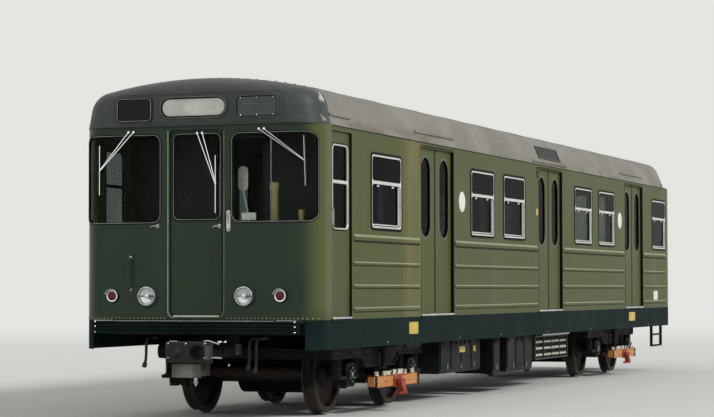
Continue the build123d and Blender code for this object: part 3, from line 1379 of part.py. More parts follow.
# Vertical grab handle on the cab front
handle_y = -780
handle_h = (1410, 1740)
handle_radius = 14
handle_stand_off = 60
with BuildPart() as grab_handles:
    with BuildLine() as handle_path:
        FilletPolyline((x_front_face, handle_y, z_at(handle_h[0])),
                       (x_front_face + handle_stand_off, handle_y, z_at(handle_h[0])),
                       (x_front_face + handle_stand_off, handle_y, z_at(handle_h[1])),
                       (x_front_face, handle_y, z_at(handle_h[1])), radius=2 * handle_radius)
    with BuildSketch(Plane.YZ.offset(x_front_face)):
        with Locations((handle_y, z_at(handle_h[0]))):
            Circle(handle_radius)
    sweep()
save(grab_handles.part, "grab_handles")
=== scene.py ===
from math import asin, copysign, cos, pi, radians, sin

import bpy
from mathutils import Matrix, Vector
from mathutils.bvhtree import BVHTree


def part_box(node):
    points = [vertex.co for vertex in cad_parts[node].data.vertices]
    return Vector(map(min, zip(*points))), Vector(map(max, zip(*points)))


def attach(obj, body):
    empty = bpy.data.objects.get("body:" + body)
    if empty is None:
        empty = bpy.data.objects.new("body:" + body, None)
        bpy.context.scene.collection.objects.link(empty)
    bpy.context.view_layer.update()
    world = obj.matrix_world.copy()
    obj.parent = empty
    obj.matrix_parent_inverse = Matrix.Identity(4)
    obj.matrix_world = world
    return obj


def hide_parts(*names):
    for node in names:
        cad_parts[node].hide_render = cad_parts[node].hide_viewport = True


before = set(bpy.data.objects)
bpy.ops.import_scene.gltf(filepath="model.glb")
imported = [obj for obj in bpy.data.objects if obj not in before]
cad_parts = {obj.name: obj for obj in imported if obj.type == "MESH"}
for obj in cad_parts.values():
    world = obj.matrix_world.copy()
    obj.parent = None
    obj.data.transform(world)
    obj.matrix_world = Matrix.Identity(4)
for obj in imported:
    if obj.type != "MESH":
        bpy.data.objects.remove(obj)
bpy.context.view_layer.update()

# Sizes in metres, in the car's frame: +X to the cab end, +Y to the left of the car, +Z up.
X_FRONT = 8.5
HALF_WIDTH = 1.4
RAIL_TOP = 0.028
CORNER_RADIUS = 0.3
DOORWAYS = [X_FRONT - s for s in (4.048, 9.235, 14.422)]
DOORWAY_HALF = 0.638
SIDE_WINDOWS = (2.1845, 5.9115, 7.3715, 11.0985, 12.5585, 16.2855)
CAB_DOOR_BACK = 0.75
BOGIE_X = 5.64
AXLE_X = 1.05
AXLE_Z = 0.458
FLOOR_TOP = 1.118
END_DOOR_FACE = 8.470
SIDES = ((1, "left"), (-1, "right"))
ENDS = ((1, "front"), (-1, "rear"))
FORWARD, UP, DOWN = (1, 0, 0), (0, 0, 1), (0, 0, -1)

# Angles along a quarter turn
QUARTER = [pi / 2 * k / 7 for k in range(8)]


def height(above_rail):
    """Z of a height above the rail head."""
    return RAIL_TOP + above_rail


def heights(low, high):
    """The span between two heights above the rail head."""
    return (height(low), height(high))


def station(back_from_front):
    """X of a distance back from the front face."""
    return X_FRONT - back_from_front


# Mesh tools

class Shape:
    """Points and faces gathered into one piece."""

    def __init__(self):
        self.points = []
        self.faces = []

    def add(self, points, faces):
        first = len(self.points)
        self.points += [Vector(p) for p in points]
        self.faces += [tuple(first + i for i in face) for face in faces]

    def skin(self, rings, looped=False, inside_out=False):
        """Faces from each ring of points to the next, with both end rings capped unless they are looped."""
        count, width = len(rings), len(rings[0])
        faces = []
        for r in range(count if looped else count - 1):
            n = (r + 1) % count
            for k in range(width):
                m = (k + 1) % width
                a, b, c, d = r * width + k, r * width + m, n * width + m, n * width + k
                faces.append((a, d, c, b) if inside_out else (a, b, c, d))
        if not looped:
            first, last = tuple(range(width)), tuple(range((count - 1) * width, count * width))
            faces += [first, last[::-1]] if inside_out else [first[::-1], last]
        self.add([p for ring in rings for p in ring], faces)

    def block(self, x_span, y_span, z_span, chamfer=0.003):
        """A box over three spans, whose ends come in either order, with its edges chamfered."""
        low, high = (Vector(corner) for corner in zip(x_span, y_span, z_span))
        middle, half = (low + high) / 2, (high - low) / 2
        half = Vector([abs(h) for h in half])
        c = min(chamfer, min(half) * 0.45)
        rings = []
        for level, inset in ((-half.z, c), (c - half.z, 0), (half.z - c, 0), (half.z, c)):
            x, y = half.x - inset, half.y - inset
            plan = ((x, c - y), (x, y - c), (x - c, y), (c - x, y),
                    (-x, y - c), (-x, c - y), (c - x, -y), (x - c, -y))
            rings.append([middle + Vector((a, b, level)) for a, b in plan])
        self.skin(rings)

    def slab(self, outline, normal, thickness, chamfer=0.002):
        """A plate on an outline, anticlockwise as seen from where it faces, with its front edge eased."""
        normal, outline = Vector(normal).normalized(), [Vector(p) for p in outline]
        centre = sum(outline, Vector()) / len(outline)
        shoulder = [p + normal * (thickness - chamfer) for p in outline]
        front = [p + (centre - p).normalized() * chamfer + normal * thickness for p in outline]
        self.skin([outline, shoulder, front])

    def turned(self, profile, origin, axis, sides=24, closed=False):
        """A profile of (distance along the axis, radius) turned round an axis, as a ring if it is closed."""
        turn = Vector(axis).normalized().to_track_quat("Z", "Y").to_matrix()
        angles = [2 * pi * k / sides for k in range(sides)]
        self.skin([[Vector(origin) + turn @ Vector((radius * cos(a), radius * sin(a), along)) for a in angles]
                   for along, radius in profile], looped=closed)

    def swept(self, path, normals, profile, closed=True):
        """A profile of (across, out) points carried along a path, with out along each point's normal."""
        path = [Vector(p) for p in path]
        last = len(path) - 1
        rings = []
        for i, point in enumerate(path):
            before = path[i - 1] if closed or i else point
            after = path[(i + 1) % len(path)] if closed or i < last else point
            along = (after - before).normalized()
            out = Vector(normals[i] if isinstance(normals, list) else normals).normalized()
            across = along.cross(out).normalized()
            rings.append([point + across * a + out * b for a, b in profile])
        self.skin(rings, closed, inside_out=True)

    def laid(self, places, profile, closed=True):
        """A profile swept over places on a surface, each a point and the way the surface faces there."""
        self.swept([point for point, _ in places], [normal for _, normal in places], profile, closed)

    def tube(self, path, radius, sides=10, closed=False):
        """A round bar along a path."""
        path = [Vector(p) for p in path]
        along = (path[1] - path[0]).normalized()
        out = along.orthogonal().normalized()
        normals = []
        for before, after in zip(path[:1] + path, path[1:] + path[-1:]):
            onward = (after - before).normalized()
            out = along.rotation_difference(onward) @ out
            along = onward
            normals.append(out)
        ring = [(radius * cos(2 * pi * k / sides), radius * sin(2 * pi * k / sides)) for k in range(sides)]
        self.swept(path, normals, ring, closed)

    def make(self, name, material, body="car_body", slot=None, smooth=35):
        """The finished object, riding on a body, in its material's slot; the slot argument is not used."""
        mesh = bpy.data.meshes.new(name)
        mesh.from_pydata([tuple(p) for p in self.points], [], self.faces)
        mesh.validate()
        mesh.materials.append(material)
        piece = bpy.data.objects.new(name, mesh)
        bpy.context.scene.collection.objects.link(piece)
        mesh.shade_smooth()
        mesh.set_sharp_from_angle(angle=radians(smooth))
        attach(piece, body)
        return piece


def shapes(count):
    """Some empty shapes, to be filled side by side."""
    return [Shape() for _ in range(count)]


def evenly(low, high, step):
    """Evenly spaced values from low to high."""
    count = round((high - low) / step)
    return [low + (high - low) * k / count for k in range(count + 1)]


def about(middle, half):
    """The span that reaches as far to both sides of a middle."""
    return (middle - half, middle + half)


def rounded_outline(centre, width, tall, radius, steps=6):
    """Points round a rounded rectangle, anticlockwise, in two plain coordinates."""
    points = []
    for quarter, (a, b) in enumerate(((1, 1), (-1, 1), (-1, -1), (1, -1))):
        cx = centre[0] + a * (width / 2 - radius)
        cy = centre[1] + b * (tall / 2 - radius)
        for k in range(steps + 1):
            angle = (quarter + k / steps) * pi / 2
            points.append((cx + radius * cos(angle), cy + radius * sin(angle)))
    return points


def bead(width, rise, sink=0.002, steps=5):
    """A rounded bead's section: half an ellipse with its foot a little under the surface."""
    arc = [(width / 2 * cos(pi * k / steps), rise * sin(pi * k / steps)) for k in range(steps + 1)]
    return [(width / 2, -sink)] + arc + [(-width / 2, -sink)]


# Materials


def srgb(red, green, blue):
    """A colour of 0 to 255 steps as the linear values that Blender takes."""
    def linear(value):
        value /= 255
        return value / 12.92 if value <= 0.04045 else ((value + 0.055) / 1.055) ** 2.4
    return (linear(red), linear(green), linear(blue), 1.0)


class NodeTree:
    """A tree of shader nodes, filled by short calls."""

    def __init__(self, tree):
        self.nodes = tree.nodes
        self.links = tree.links

    def feed(self, socket, value):
        if isinstance(value, bpy.types.NodeSocket):
            self.links.new(value, socket)
        else:
            socket.default_value = value

    def node(self, kind, inputs, **settings):
        """A new node with its settings made, and then its inputs linked or set by name or number."""
        node = self.nodes.new("ShaderNode" + kind)
        for name, value in settings.items():
            setattr(node, name, value)
        for socket, value in inputs.items():
            self.feed(node.inputs[socket], value)
        return node

    def maths(self, operation, a, b=0.5):
        return self.node("Math", {0: a, 1: b}, operation=operation).outputs["Value"]

    def times(self, a, b):
        return self.maths("MULTIPLY", a, b)


class Look(NodeTree):
    """A procedural material built round one Principled shader."""

    def __init__(self, name, metallic=0.0, **sockets):
        self.material = bpy.data.materials.new(name)
        self.material.use_nodes = True
        super().__init__(self.material.node_tree)
        self.shader = self.nodes["Principled BSDF"]
        self.shader.inputs["Metallic"].default_value = metallic
        for socket, value in sockets.items():
            self.shader.inputs[socket.replace("_", " ")].default_value = value
        self.coordinates = self.node("TexCoord", {}).outputs["Object"]

    def stretched(self, stretch):
        return self.node("Mapping", {"Scale": stretch, "Vector": self.coordinates}).outputs["Vector"]

    def noise(self, scale, detail=4, stretch=None):
        place = self.stretched(stretch) if stretch else self.coordinates
        return self.node("TexNoise", {"Scale": scale, "Detail": detail, "Roughness": 0.55,
                                      "Vector": place}).outputs["Fac"]

    def wave(self, scale, distortion, axis, stretch):
        return self.node("TexWave", {"Scale": scale, "Distortion": distortion, "Detail": 3,
                                     "Vector": self.stretched(stretch)}, bands_direction=axis).outputs["Fac"]

    def cells(self, scale):
        return self.node("TexVoronoi", {"Scale": scale, "Vector": self.coordinates}).outputs["Distance"]

    def along(self, axis):
        return self.node("SeparateXYZ", {"Vector": self.coordinates}).outputs[axis]

    def edges(self):
        """Higher on convex edges, lower in corners."""
        return self.node("NewGeometry", {}).outputs["Pointiness"]

    def span(self, value, low, high, to_low=0.0, to_high=1.0):
        """A smooth step of the value, from to_low at low to to_high at high."""
        ends = {"Value": value, "From Min": low, "From Max": high, "To Min": to_low, "To Max": to_high}
        return self.node("MapRange", ends, interpolation_type="SMOOTHSTEP").outputs["Result"]

    def mix(self, share, a, b):
        return self.node("Mix", {"Factor": share, "A": a, "B": b}, data_type="RGBA").outputs["Result"]

    def over(self, tone, source, low, high, share, second):
        """A tone with a share of a second one laid over it as the source rises from low to high."""
        return self.mix(self.span(source, low, high, 0.0, share), tone, second)

    def colour(self, value):
        self.feed(self.shader.inputs["Base Color"], value)
        return self

    def rough(self, low, high, source):
        self.feed(self.shader.inputs["Roughness"], self.span(source, 0.3, 0.7, low, high))
        return self

    def bump(self, source, distance, strength=1.0):
        node = self.node("Bump", {"Distance": distance, "Strength": strength, "Height": source})
        last = self.shader.inputs["Normal"].links
        if last:
            self.links.new(last[0].from_socket, node.inputs["Normal"])
        self.links.new(node.outputs["Normal"], self.shader.inputs["Normal"])
        return self


def make_side_paint():
    """Olive car paint, streaked by rain, stained brown ahead of the first doorway and dusty at its foot."""
    look = Look("side_paint", IOR=1.2)
    clouds = look.noise(0.7, 5)
    streaks = look.noise(1.0, 5, (9.0, 9.0, 0.35))
    fine_streaks = look.noise(1.0, 4, (46.0, 46.0, 0.9))
    specks = look.noise(140, 2)
    green = look.mix(look.span(clouds, 0.35, 0.65), srgb(73, 82, 44), srgb(83, 91, 52))
    green = look.over(green, streaks, 0.5, 0.75, 0.4, srgb(68, 73, 40))
    green = look.over(green, fine_streaks, 0.56, 0.75, 0.35, srgb(104, 100, 64))
    stain_middle, stain_core, stain_half = station(3.18), 0.12, 0.62
    offset = look.maths("ABSOLUTE", look.maths("SUBTRACT", look.along("X"), stain_middle))
    stain = look.times(look.span(offset, stain_core, stain_half, 1.0, 0.0),
                       look.span(fine_streaks, 0.35, 0.65, 0.35, 1.0))
    green = look.mix(look.times(stain, 0.8), green, srgb(121, 114, 69))
    foot = look.times(look.span(look.along("Z"), height(1.07), height(1.4), 1.0, 0.0),
                      look.span(streaks, 0.3, 0.7, 0.3, 1.0))
    green = look.mix(look.times(foot, 0.35), green, srgb(74, 74, 50))
    look.colour(green).rough(0.36, 0.54, clouds)
    look.bump(look.noise(2.2, 2), 0.004, 0.25).bump(specks, 0.0006, 0.25)
    return look.material


def make_shaded_end_paint():
    """Green paint of the ends, darkened as painted shade, giving way round the corners to the olive of the
    sides.
    """
    look = Look("end_paint", IOR=1.3)
    clouds = look.noise(1.1, 5)
    streaks = look.noise(1.0, 4, (30.0, 30.0, 0.8))
    green = look.mix(look.span(clouds, 0.3, 0.7), srgb(35, 51, 38), srgb(42, 59, 43))
    green = look.over(green, streaks, 0.55, 0.8, 0.3, srgb(54, 66, 46))
    # Round the corners the painted shade gives way to the olive of the sides
    side = look.span(look.maths("ABSOLUTE", look.along("Y")), 1.2, 1.39)
    green = look.mix(side, green, srgb(80, 89, 48))
    foot = look.span(look.along("Z"), height(1.07), height(1.25), 0.5, 0.0)
    green = look.mix(foot, green, srgb(48, 56, 42))
    look.colour(green).rough(0.3, 0.46, clouds)
    look.bump(look.noise(3.0, 2), 0.003, 0.25).bump(look.noise(150, 2), 0.0005, 0.25)
    return look.material


def make_skirt_paint():
    """Dark blue green paint under road dust, scuffed along its edges."""
    look = Look("skirt_paint", IOR=1.1)
    clouds = look.noise(1.6, 5)
    streaks = look.noise(1.0, 4, (14.0, 14.0, 0.7))
    tone = look.mix(look.span(clouds, 0.35, 0.7), srgb(17, 33, 33), srgb(24, 40, 39))
    tone = look.over(tone, streaks, 0.5, 0.8, 0.5, srgb(40, 50, 46))
    tone = look.mix(look.span(look.noise(30, 4), 0.62, 0.72, 0.0, 0.6), tone, srgb(54, 54, 46))
    look.colour(tone).rough(0.5, 0.7, clouds)
    look.bump(look.noise(70, 3), 0.001, 0.3)
    return look.material


def make_roof_paint():
    """Pale weathered roof paint with soot along the middle and brown stains low on the shoulders."""
    look = Look("roof_paint", IOR=1.25)
    clouds = look.noise(0.9, 6)
    fine = look.noise(14, 5)
    tone = look.mix(look.span(clouds, 0.35, 0.65), srgb(128, 126, 119), srgb(146, 143, 134))
    soot = look.span(look.along("Z"), height(3.45), height(3.7), 0.0, 0.45)
    tone = look.mix(soot, tone, srgb(102, 101, 97))
    low = look.span(look.along("Z"), height(3.16), height(3.4), 1.0, 0.0)
    patches = look.span(look.noise(1.0, 6, (1.2, 1.2, 5.0)), 0.5, 0.66)
    tone = look.mix(look.times(look.times(low, patches), 0.6), tone, srgb(104, 86, 62))
    tone = look.over(tone, fine, 0.6, 0.75, 0.35, srgb(96, 91, 82))
    look.colour(tone).rough(0.55, 0.75, fine)
    look.bump(look.noise(60, 4), 0.001, 0.35).bump(look.noise(1.8, 2), 0.006, 0.3)
    return look.material


def make_dome_paint():
    """Dark grey green paint of the dome, paler on its crown, with a whitish painted highlight on its left
    corner.
    """
    look = Look("dome_paint", IOR=1.35)
    clouds = look.noise(1.4, 6)
    tone = look.mix(look.span(clouds, 0.35, 0.65), srgb(56, 62, 59), srgb(70, 75, 70))
    tone = look.mix(look.span(look.along("Z"), height(3.4), height(3.68), 0.0, 0.5), tone, srgb(86, 88, 84))
    # Painted highlight, whitish, on the dome's left corner
    wear_and_highlight = look.times(look.span(look.along("Y"), 1.18, 1.36), look.span(look.noise(5, 5), 0.56, 0.68))
    tone = look.mix(wear_and_highlight, tone, srgb(205, 200, 186))
    look.colour(tone).rough(0.4, 0.58, clouds)
    look.bump(look.noise(90, 3), 0.0008, 0.3)
    return look.material


def make_plain(name, colour, second, low_rough, high_rough, scale, grain, metallic=0.0, depth=0.0004,
               **sockets):
    """A finish in two close tones with a fine grain."""
    look = Look(name, metallic, **sockets)
    clouds = look.noise(scale, 5)
    look.colour(look.mix(look.span(clouds, 0.35, 0.65), srgb(*colour), srgb(*second)))
    look.rough(low_rough, high_rough, clouds)
    look.bump(look.noise(grain, 3), depth, 0.35)
    return look.material


def make_brushed(name, colour, second, stretch, low_rough=0.25, high_rough=0.42):
    """Metal with drawn lines along one axis and faint smudges."""
    look = Look(name, 1.0)
    lines = look.noise(1.0, 4, stretch)
    smudges = look.noise(5, 4)
    look.colour(look.mix(look.span(smudges, 0.35, 0.7), srgb(*colour), srgb(*second)))
    look.rough(low_rough, high_rough, smudges)
    look.bump(lines, 0.0003, 0.4)
    return look.material


def make_glass(name, tint, dust, ior):
    """Clear pane with a film of dust."""
    look = Look(name, IOR=ior, Transmission_Weight=1.0)
    film = look.noise(3.5, 6, (1, 1, 0.4))
    look.colour(look.mix(look.span(film, 0.4, 0.8), srgb(*tint), srgb(*dust)))
    look.rough(0.015, 0.06, film)
    return look.material


def make_underframe_paint():
    """Black paint under brown brake dust and oil."""
    look = Look("underframe_paint", IOR=1.2)
    dust = look.noise(2.4, 6)
    fine = look.noise(24, 5)
    tone = look.mix(look.span(dust, 0.35, 0.65), srgb(19, 20, 20), srgb(34, 32, 29))
    tone = look.over(tone, fine, 0.55, 0.72, 0.6, srgb(54, 45, 36))
    look.colour(tone).rough(0.45, 0.8, fine)
    look.bump(fine, 0.0012, 0.4)
    return look.material


def make_rust_iron(name, dark, rust):
    """Cast iron with rust in patches."""
    look = Look(name, 0.35)
    patches = look.noise(6, 6)
    grains = look.noise(90, 3)
    tone = look.mix(look.span(patches, 0.4, 0.62), srgb(*dark), srgb(*rust))
    wear_and_highlight = look.times(look.span(look.edges(), 0.55, 0.70), look.span(patches, 0.35, 0.55, 0.6, 0.25))
    tone = look.mix(wear_and_highlight, tone, srgb(150, 146, 138))
    look.colour(tone).rough(0.5, 0.85, patches)
    look.bump(grains, 0.0009, 0.5)
    return look.material


def make_timber():
    """Varnished orange timber, with grain along the car and drying splits."""
    look = Look("beam_timber", IOR=1.45)
    grain = look.wave(5.0, 5.0, "Z", (0.35, 4.0, 5.0))
    fibres = look.noise(1.0, 5, (6.0, 160.0, 160.0))
    tone = look.mix(grain, srgb(214, 146, 76), srgb(186, 114, 52))
    tone = look.over(tone, fibres, 0.5, 0.8, 0.7, srgb(132, 78, 36))
    tone = look.mix(look.span(look.noise(9, 5), 0.58, 0.72, 0.0, 0.5), tone, srgb(88, 66, 50))
    look.colour(tone).rough(0.4, 0.6, grain)
    look.bump(fibres, 0.001, 0.5)
    return look.material


def make_seat_cover():
    """Green leathercloth with a fine grain, worn paler in patches."""
    look = Look("seat_cover", IOR=1.45)
    wear_and_highlight = look.noise(4, 5)
    grain = look.cells(420)
    look.colour(look.mix(look.span(wear_and_highlight, 0.4, 0.7), srgb(52, 78, 56), srgb(74, 96, 70)))
    look.rough(0.42, 0.6, wear_and_highlight)
    look.bump(grain, 0.0006, 0.4)
    return look.material


SIDE_PAINT = make_side_paint()
SHADED_END_PAINT = make_shaded_end_paint()
SKIRT_PAINT = make_skirt_paint()
ROOF_PAINT = make_roof_paint()
DOME_PAINT = make_dome_paint()
UNDERFRAME = make_underframe_paint()
TIMBER = make_timber()
SEAT_COVER = make_seat_cover()

# Name, dark tone, rust tone
WHEEL_IRON = make_rust_iron("wheel_iron", (27, 26, 25), (54, 41, 33))
COUPLER_STEEL = make_rust_iron("coupler_steel", (22, 23, 23), (40, 36, 32))

# Name, two tones, stretch of the drawn lines, least and most roughness
TREAD_STEEL = make_brushed("tread_steel", (150, 146, 140), (176, 172, 166), (4, 220, 4))
ALUMINIUM = make_brushed("bare_aluminium", (196, 199, 196), (222, 224, 221), (3, 260, 260), 0.3, 0.45)
POLISHED = make_brushed("polished_steel", (168, 168, 166), (190, 190, 188), (300, 300, 4), 0.12, 0.28)

# Name, tint, tone of the dust, index of refraction
# The side glass is tinted dark as painted shade, for the dim saloon seen through it
SHADE_TINTED_GLASS = make_glass("shade_tinted_glass", (84, 94, 92), (104, 110, 104), 1.05)
SCREEN_GLASS = make_glass("screen_glass", (220, 226, 222), (216, 220, 212), 1.08)
LENS_GLASS = make_glass("lens_glass", (240, 243, 243), (228, 231, 230), 1.3)

# Name, two tones, least and most roughness, scales of the clouds and the grain, metallic, depth of the grain
CHROME = make_plain("lamp_chrome", (214, 216, 218), (226, 227, 228), 0.04, 0.14, 8, 200, 1.0, 0.0001)
RUBBER = make_plain("rubber", (12, 13, 13), (21, 21, 20), 0.55, 0.75, 12, 300, IOR=1.2)
DISPLAY = make_plain("display_black", (8, 10, 10), (14, 16, 16), 0.12, 0.25, 5, 60, 0.0, 0.0002, IOR=1.25)
BLIND = make_plain("blind_cloth", (186, 187, 180), (206, 206, 200), 0.4, 0.6, 4, 200)
DESK = make_plain("desk_paint", (40, 45, 42), (50, 55, 50), 0.4, 0.55, 5, 160)
LINO = make_plain("floor_covering", (84, 80, 76), (104, 100, 94), 0.4, 0.65, 3, 60)
RED_LENS = make_plain("red_lens", (84, 12, 7), (108, 18, 9), 0.1, 0.2, 20, 260, 0.0, 0.0002, IOR=1.35)
AMBER_LENS = make_plain("amber_lens", (76, 46, 16), (98, 60, 20), 0.1, 0.2, 30, 260, 0.0, 0.0002)
SURROUND_HIGHLIGHT_PAINT = make_plain("surround_highlight_paint", (50, 66, 42), (74, 88, 52), 0.3, 0.45, 4, 160)
FILLER = make_plain("filler_strip", (126, 131, 126), (154, 158, 152), 0.3, 0.45, 9, 200, 0.2)
GRILLE_PAINT = make_plain("grille_paint", (66, 75, 70), (80, 88, 82), 0.4, 0.55, 9, 120)
WHITE_METAL = make_plain("white_metal", (206, 208, 204), (226, 227, 222), 0.28, 0.42, 7, 220, 0.35, 0.0002)
CARD = make_plain("card", (228, 226, 218), (238, 236, 230), 0.5, 0.65, 30, 400)
YELLOW_PLATE = make_plain("yellow_plate", (196, 168, 52), (212, 186, 76), 0.35, 0.5, 9, 140)
# Painted highlight and painted shade: pale and dark tones of the side paint for lit and shaded faces
HIGHLIGHT_PAINT = make_plain("highlight_paint", (138, 146, 116), (152, 158, 130), 0.4, 0.55, 3, 140, IOR=1.2)
SHADE_PAINT = make_plain("shade_paint", (30, 34, 20), (40, 43, 26), 0.5, 0.65, 3, 140, IOR=1.2)
SHOE_IRON = make_plain("shoe_iron", (168, 58, 26), (122, 46, 28), 0.5, 0.75, 14, 120)
BOLT_STEEL = make_plain("bolt_steel", (120, 116, 110), (158, 154, 148), 0.3, 0.5, 20, 240, 0.8)
PORCELAIN = make_plain("porcelain", (214, 208, 190), (230, 226, 212), 0.15, 0.3, 18, 200, 0.0, 0.0002)
BENCH_FRAME = make_plain("bench_frame", (92, 98, 92), (110, 116, 108), 0.35, 0.5, 7, 180)
PIPING = make_plain("piping", (34, 52, 38), (46, 64, 48), 0.45, 0.6, 20, 400)
DIFFUSER = make_plain("diffuser", (224, 226, 218), (234, 235, 229), 0.3, 0.45, 4, 120)
CASE_PAINT = make_plain("case_paint", (19, 23, 24), (30, 36, 37), 0.42, 0.66, 1.6, 50, IOR=1.2)
# The cab lining is painted dark as painted shade of the cab seen through the windscreens
SHADED_CAB_LINING = make_plain("shaded_cab_lining", (26, 31, 29), (36, 40, 37), 0.45, 0.6, 3, 110)
VENT_PAINT = make_plain("vent_paint", (36, 44, 42), (50, 58, 54), 0.45, 0.6, 8, 130)
RESISTOR_IRON = make_plain("resistor_iron", (52, 54, 53), (74, 74, 70), 0.4, 0.65, 9, 160, 0.5)
CREAM = make_plain("cream_paint", (206, 186, 126), (220, 202, 148), 0.3, 0.45, 5, 140)


# Finishes of the CAD nodes

def dress(node, *materials):
    """Put materials on a CAD node, the first of them all over."""
    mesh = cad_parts[node].data
    mesh.materials.clear()
    for material in materials:
        mesh.materials.append(material)
    for polygon in mesh.polygons:
        polygon.material_index = 0


def paint_between(node, index, axis, span):
    """Give another of a node's materials to the faces that lie wholly in a span along an axis."""
    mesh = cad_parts[node].data
    low, high = sorted(span)
    for polygon in mesh.polygons:
        if all(low <= mesh.vertices[v].co[axis] <= high for v in polygon.vertices):
            polygon.material_index = index


# Material, then the nodes that it covers
DRESSES = (
    (SIDE_PAINT, ("left_side_wall", "right_side_wall", "door_headers")),
    (SHADED_END_PAINT, ("cab_front", "rear_end_wall", "grab_handles")),
    (SKIRT_PAINT, ("side_skirts", "buffer_beams")),
    (ROOF_PAINT, ("roof",)),
    (DOME_PAINT, ("front_dome",)),
    (WHITE_METAL, ("window_frames",)),
    (RESISTOR_IRON, ("resistor_bank",)),
    (SHADE_TINTED_GLASS, ("window_glass",)),
    (SCREEN_GLASS, ("windscreens",)),
    (CHROME, ("lamps", "wipers", "end_door_wiper")),
    (POLISHED, ("grab_poles",)),
    (SHADED_CAB_LINING, ("cab_partition",)),
    (DESK, ("drivers_desk",)),
    (LINO, ("floor",)),
    (SEAT_COVER, ("seats",)),
    (UNDERFRAME, ("underframe", "access_steps")),
    (CASE_PAINT, ("equipment_cases",)),
    (COUPLER_STEEL, ("front_coupler", "rear_coupler")),
)
for material, nodes in DRESSES:
    for node in nodes:
        dress(node, material)

# Roof vents, apart from the rest of the roof's fittings
VENTS_X, VENTS_LOWEST = (-1.8, 0.3), 3.29
dress("roof_fittings", ROOF_PAINT, VENT_PAINT)
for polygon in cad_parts["roof_fittings"].data.polygons:
    if VENTS_X[0] < polygon.center.x < VENTS_X[1] and polygon.center.z > VENTS_LOWEST:
        polygon.material_index = 1

dress("display_panels", DISPLAY, GRILLE_PAINT)
paint_between("display_panels", 1, 1, (0.48, 0.98))

# Collector gear: iron shoe amidships, brackets of the timber beam, timber for the rest
SHOE_HALF, SHOE_OUTER_Y, SHOE_TOP = 0.16, 1.289, 0.297
BRACKET_REACH, BRACKET_INNER_Y = (0.70, 0.775), 1.208
for end, end_name in ENDS:
    for part in ("bogie_frame", "axleboxes", "traction_motors"):
        dress(f"{end_name}_{part}", UNDERFRAME)
    node = f"{end_name}_collector_gear"
    dress(node, TIMBER, SHOE_IRON, UNDERFRAME)
    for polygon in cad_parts[node].data.polygons:
        away, y = abs(polygon.center.x - end * BOGIE_X), abs(polygon.center.y)
        if away < SHOE_HALF and (y > SHOE_OUTER_Y or polygon.center.z < SHOE_TOP):
            polygon.material_index = 1
        elif BRACKET_REACH[0] < away < BRACKET_REACH[1] or y < BRACKET_INNER_Y:
            polygon.material_index = 2
    for _, axle in ENDS:
        dress(f"{end_name}_bogie_{axle}_wheelset", WHEEL_IRON, TREAD_STEEL)

# Pressed ribs of the sides: a painted highlight on their upper slopes and painted shade under their lower ones
RIB_HEIGHTS = ((1.15, 1.25), (1.40, 1.50), (1.66, 1.76), (1.80, 2.05))
RIB_FOOT_Y = 1.4003
STEEP_SHARE = 0.62
for _, side_name in SIDES:
    node = f"{side_name}_side_wall"
    dress(node, SIDE_PAINT, HIGHLIGHT_PAINT, SHADE_PAINT)
    for low, high in RIB_HEIGHTS:
        rib = [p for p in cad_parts[node].data.polygons
               if abs(p.center.y) > RIB_FOOT_Y and low < p.center.z < high]
        steepest = max(abs(p.normal.z) for p in rib)
        for polygon in rib:
            if abs(polygon.normal.z) > STEEP_SHARE * steepest:
                polygon.material_index = 1 if polygon.normal.z > 0 else 2

dress("door_sills", ALUMINIUM, SKIRT_PAINT)
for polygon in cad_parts["door_sills"].data.polygons:
    polygon.material_index = 0 if polygon.normal.z > 0.5 else 1

# Panes that share a node with their door, between these planes
LEAF_PANE_Y = (1.3395, 1.3465)
CAB_DOOR_PANE_Y = (1.3485, 1.3555)
END_PANE_HALF = 0.0065
for side, side_name in SIDES:
    doors = [(f"{side_name}_door_{number}_{way}_leaf", LEAF_PANE_Y)
             for number in (1, 2, 3) for _, way in ENDS]
    for node, pane in doors + [(f"{side_name}_cab_door", CAB_DOOR_PANE_Y)]:
        dress(node, SIDE_PAINT, SHADE_TINTED_GLASS)
        paint_between(node, 1, 1, [side * y for y in pane])
for node, material in (("front_end_door", SHADED_END_PAINT), ("rear_end_door", SHADED_END_PAINT),
                       ("partition_door", SHADED_CAB_LINING)):
    dress(node, material, SCREEN_GLASS)
    low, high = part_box(node)
    paint_between(node, 1, 0, about((low.x + high.x) / 2, END_PANE_HALF))


# Outlines and surfaces that the trim follows

class Skin:
    """The outer surface of some CAD nodes, to lay trim on."""

    def __init__(self, *nodes):
        points, faces = [], []
        for node in nodes:
            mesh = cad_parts[node].data
            first = len(points)
            points += [v.co.copy() for v in mesh.vertices]
            faces += [[first + v for v in polygon.vertices] for polygon in mesh.polygons]
        self.tree = BVHTree.FromPolygons(points, faces)

    def hit(self, origin, direction):
        """Where a ray first meets the surface, and the way it faces there."""
        place, normal, _, _ = self.tree.ray_cast(Vector(origin), Vector(direction))
        return place, normal


def on_front(y, z):
    """A point on the cab front, and the way it faces there."""
    reach = abs(y) - (HALF_WIDTH - CORNER_RADIUS)
    turn = asin(min(reach / CORNER_RADIUS, 1)) if reach > 0 else 0
    normal = Vector((cos(turn), copysign(sin(turn), y), 0))
    return Vector((X_FRONT - CORNER_RADIUS * (1 - cos(turn)), y, z)), normal


def on_end(end, y, z):
    """A point on either end, and the way it faces there."""
    place, normal = on_front(y, z)
    return Vector((end * place.x, place.y, z)), Vector((end * normal.x, normal.y, 0))


def divided(points, step, closed=True):
    """The same line with more points along its long runs."""
    out = []
    for i, point in enumerate(points):
        out.append(point)
        if i == len(points) - 1 and not closed:
            break
        after = points[(i + 1) % len(points)]
        length = sum((b - a) ** 2 for a, b in zip(point, after)) ** 0.5
        parts = max(1, round(length / step))
        for k in range(1, parts):
            out.append(tuple(a + (b - a) * k / parts for a, b in zip(point, after)))
    return out


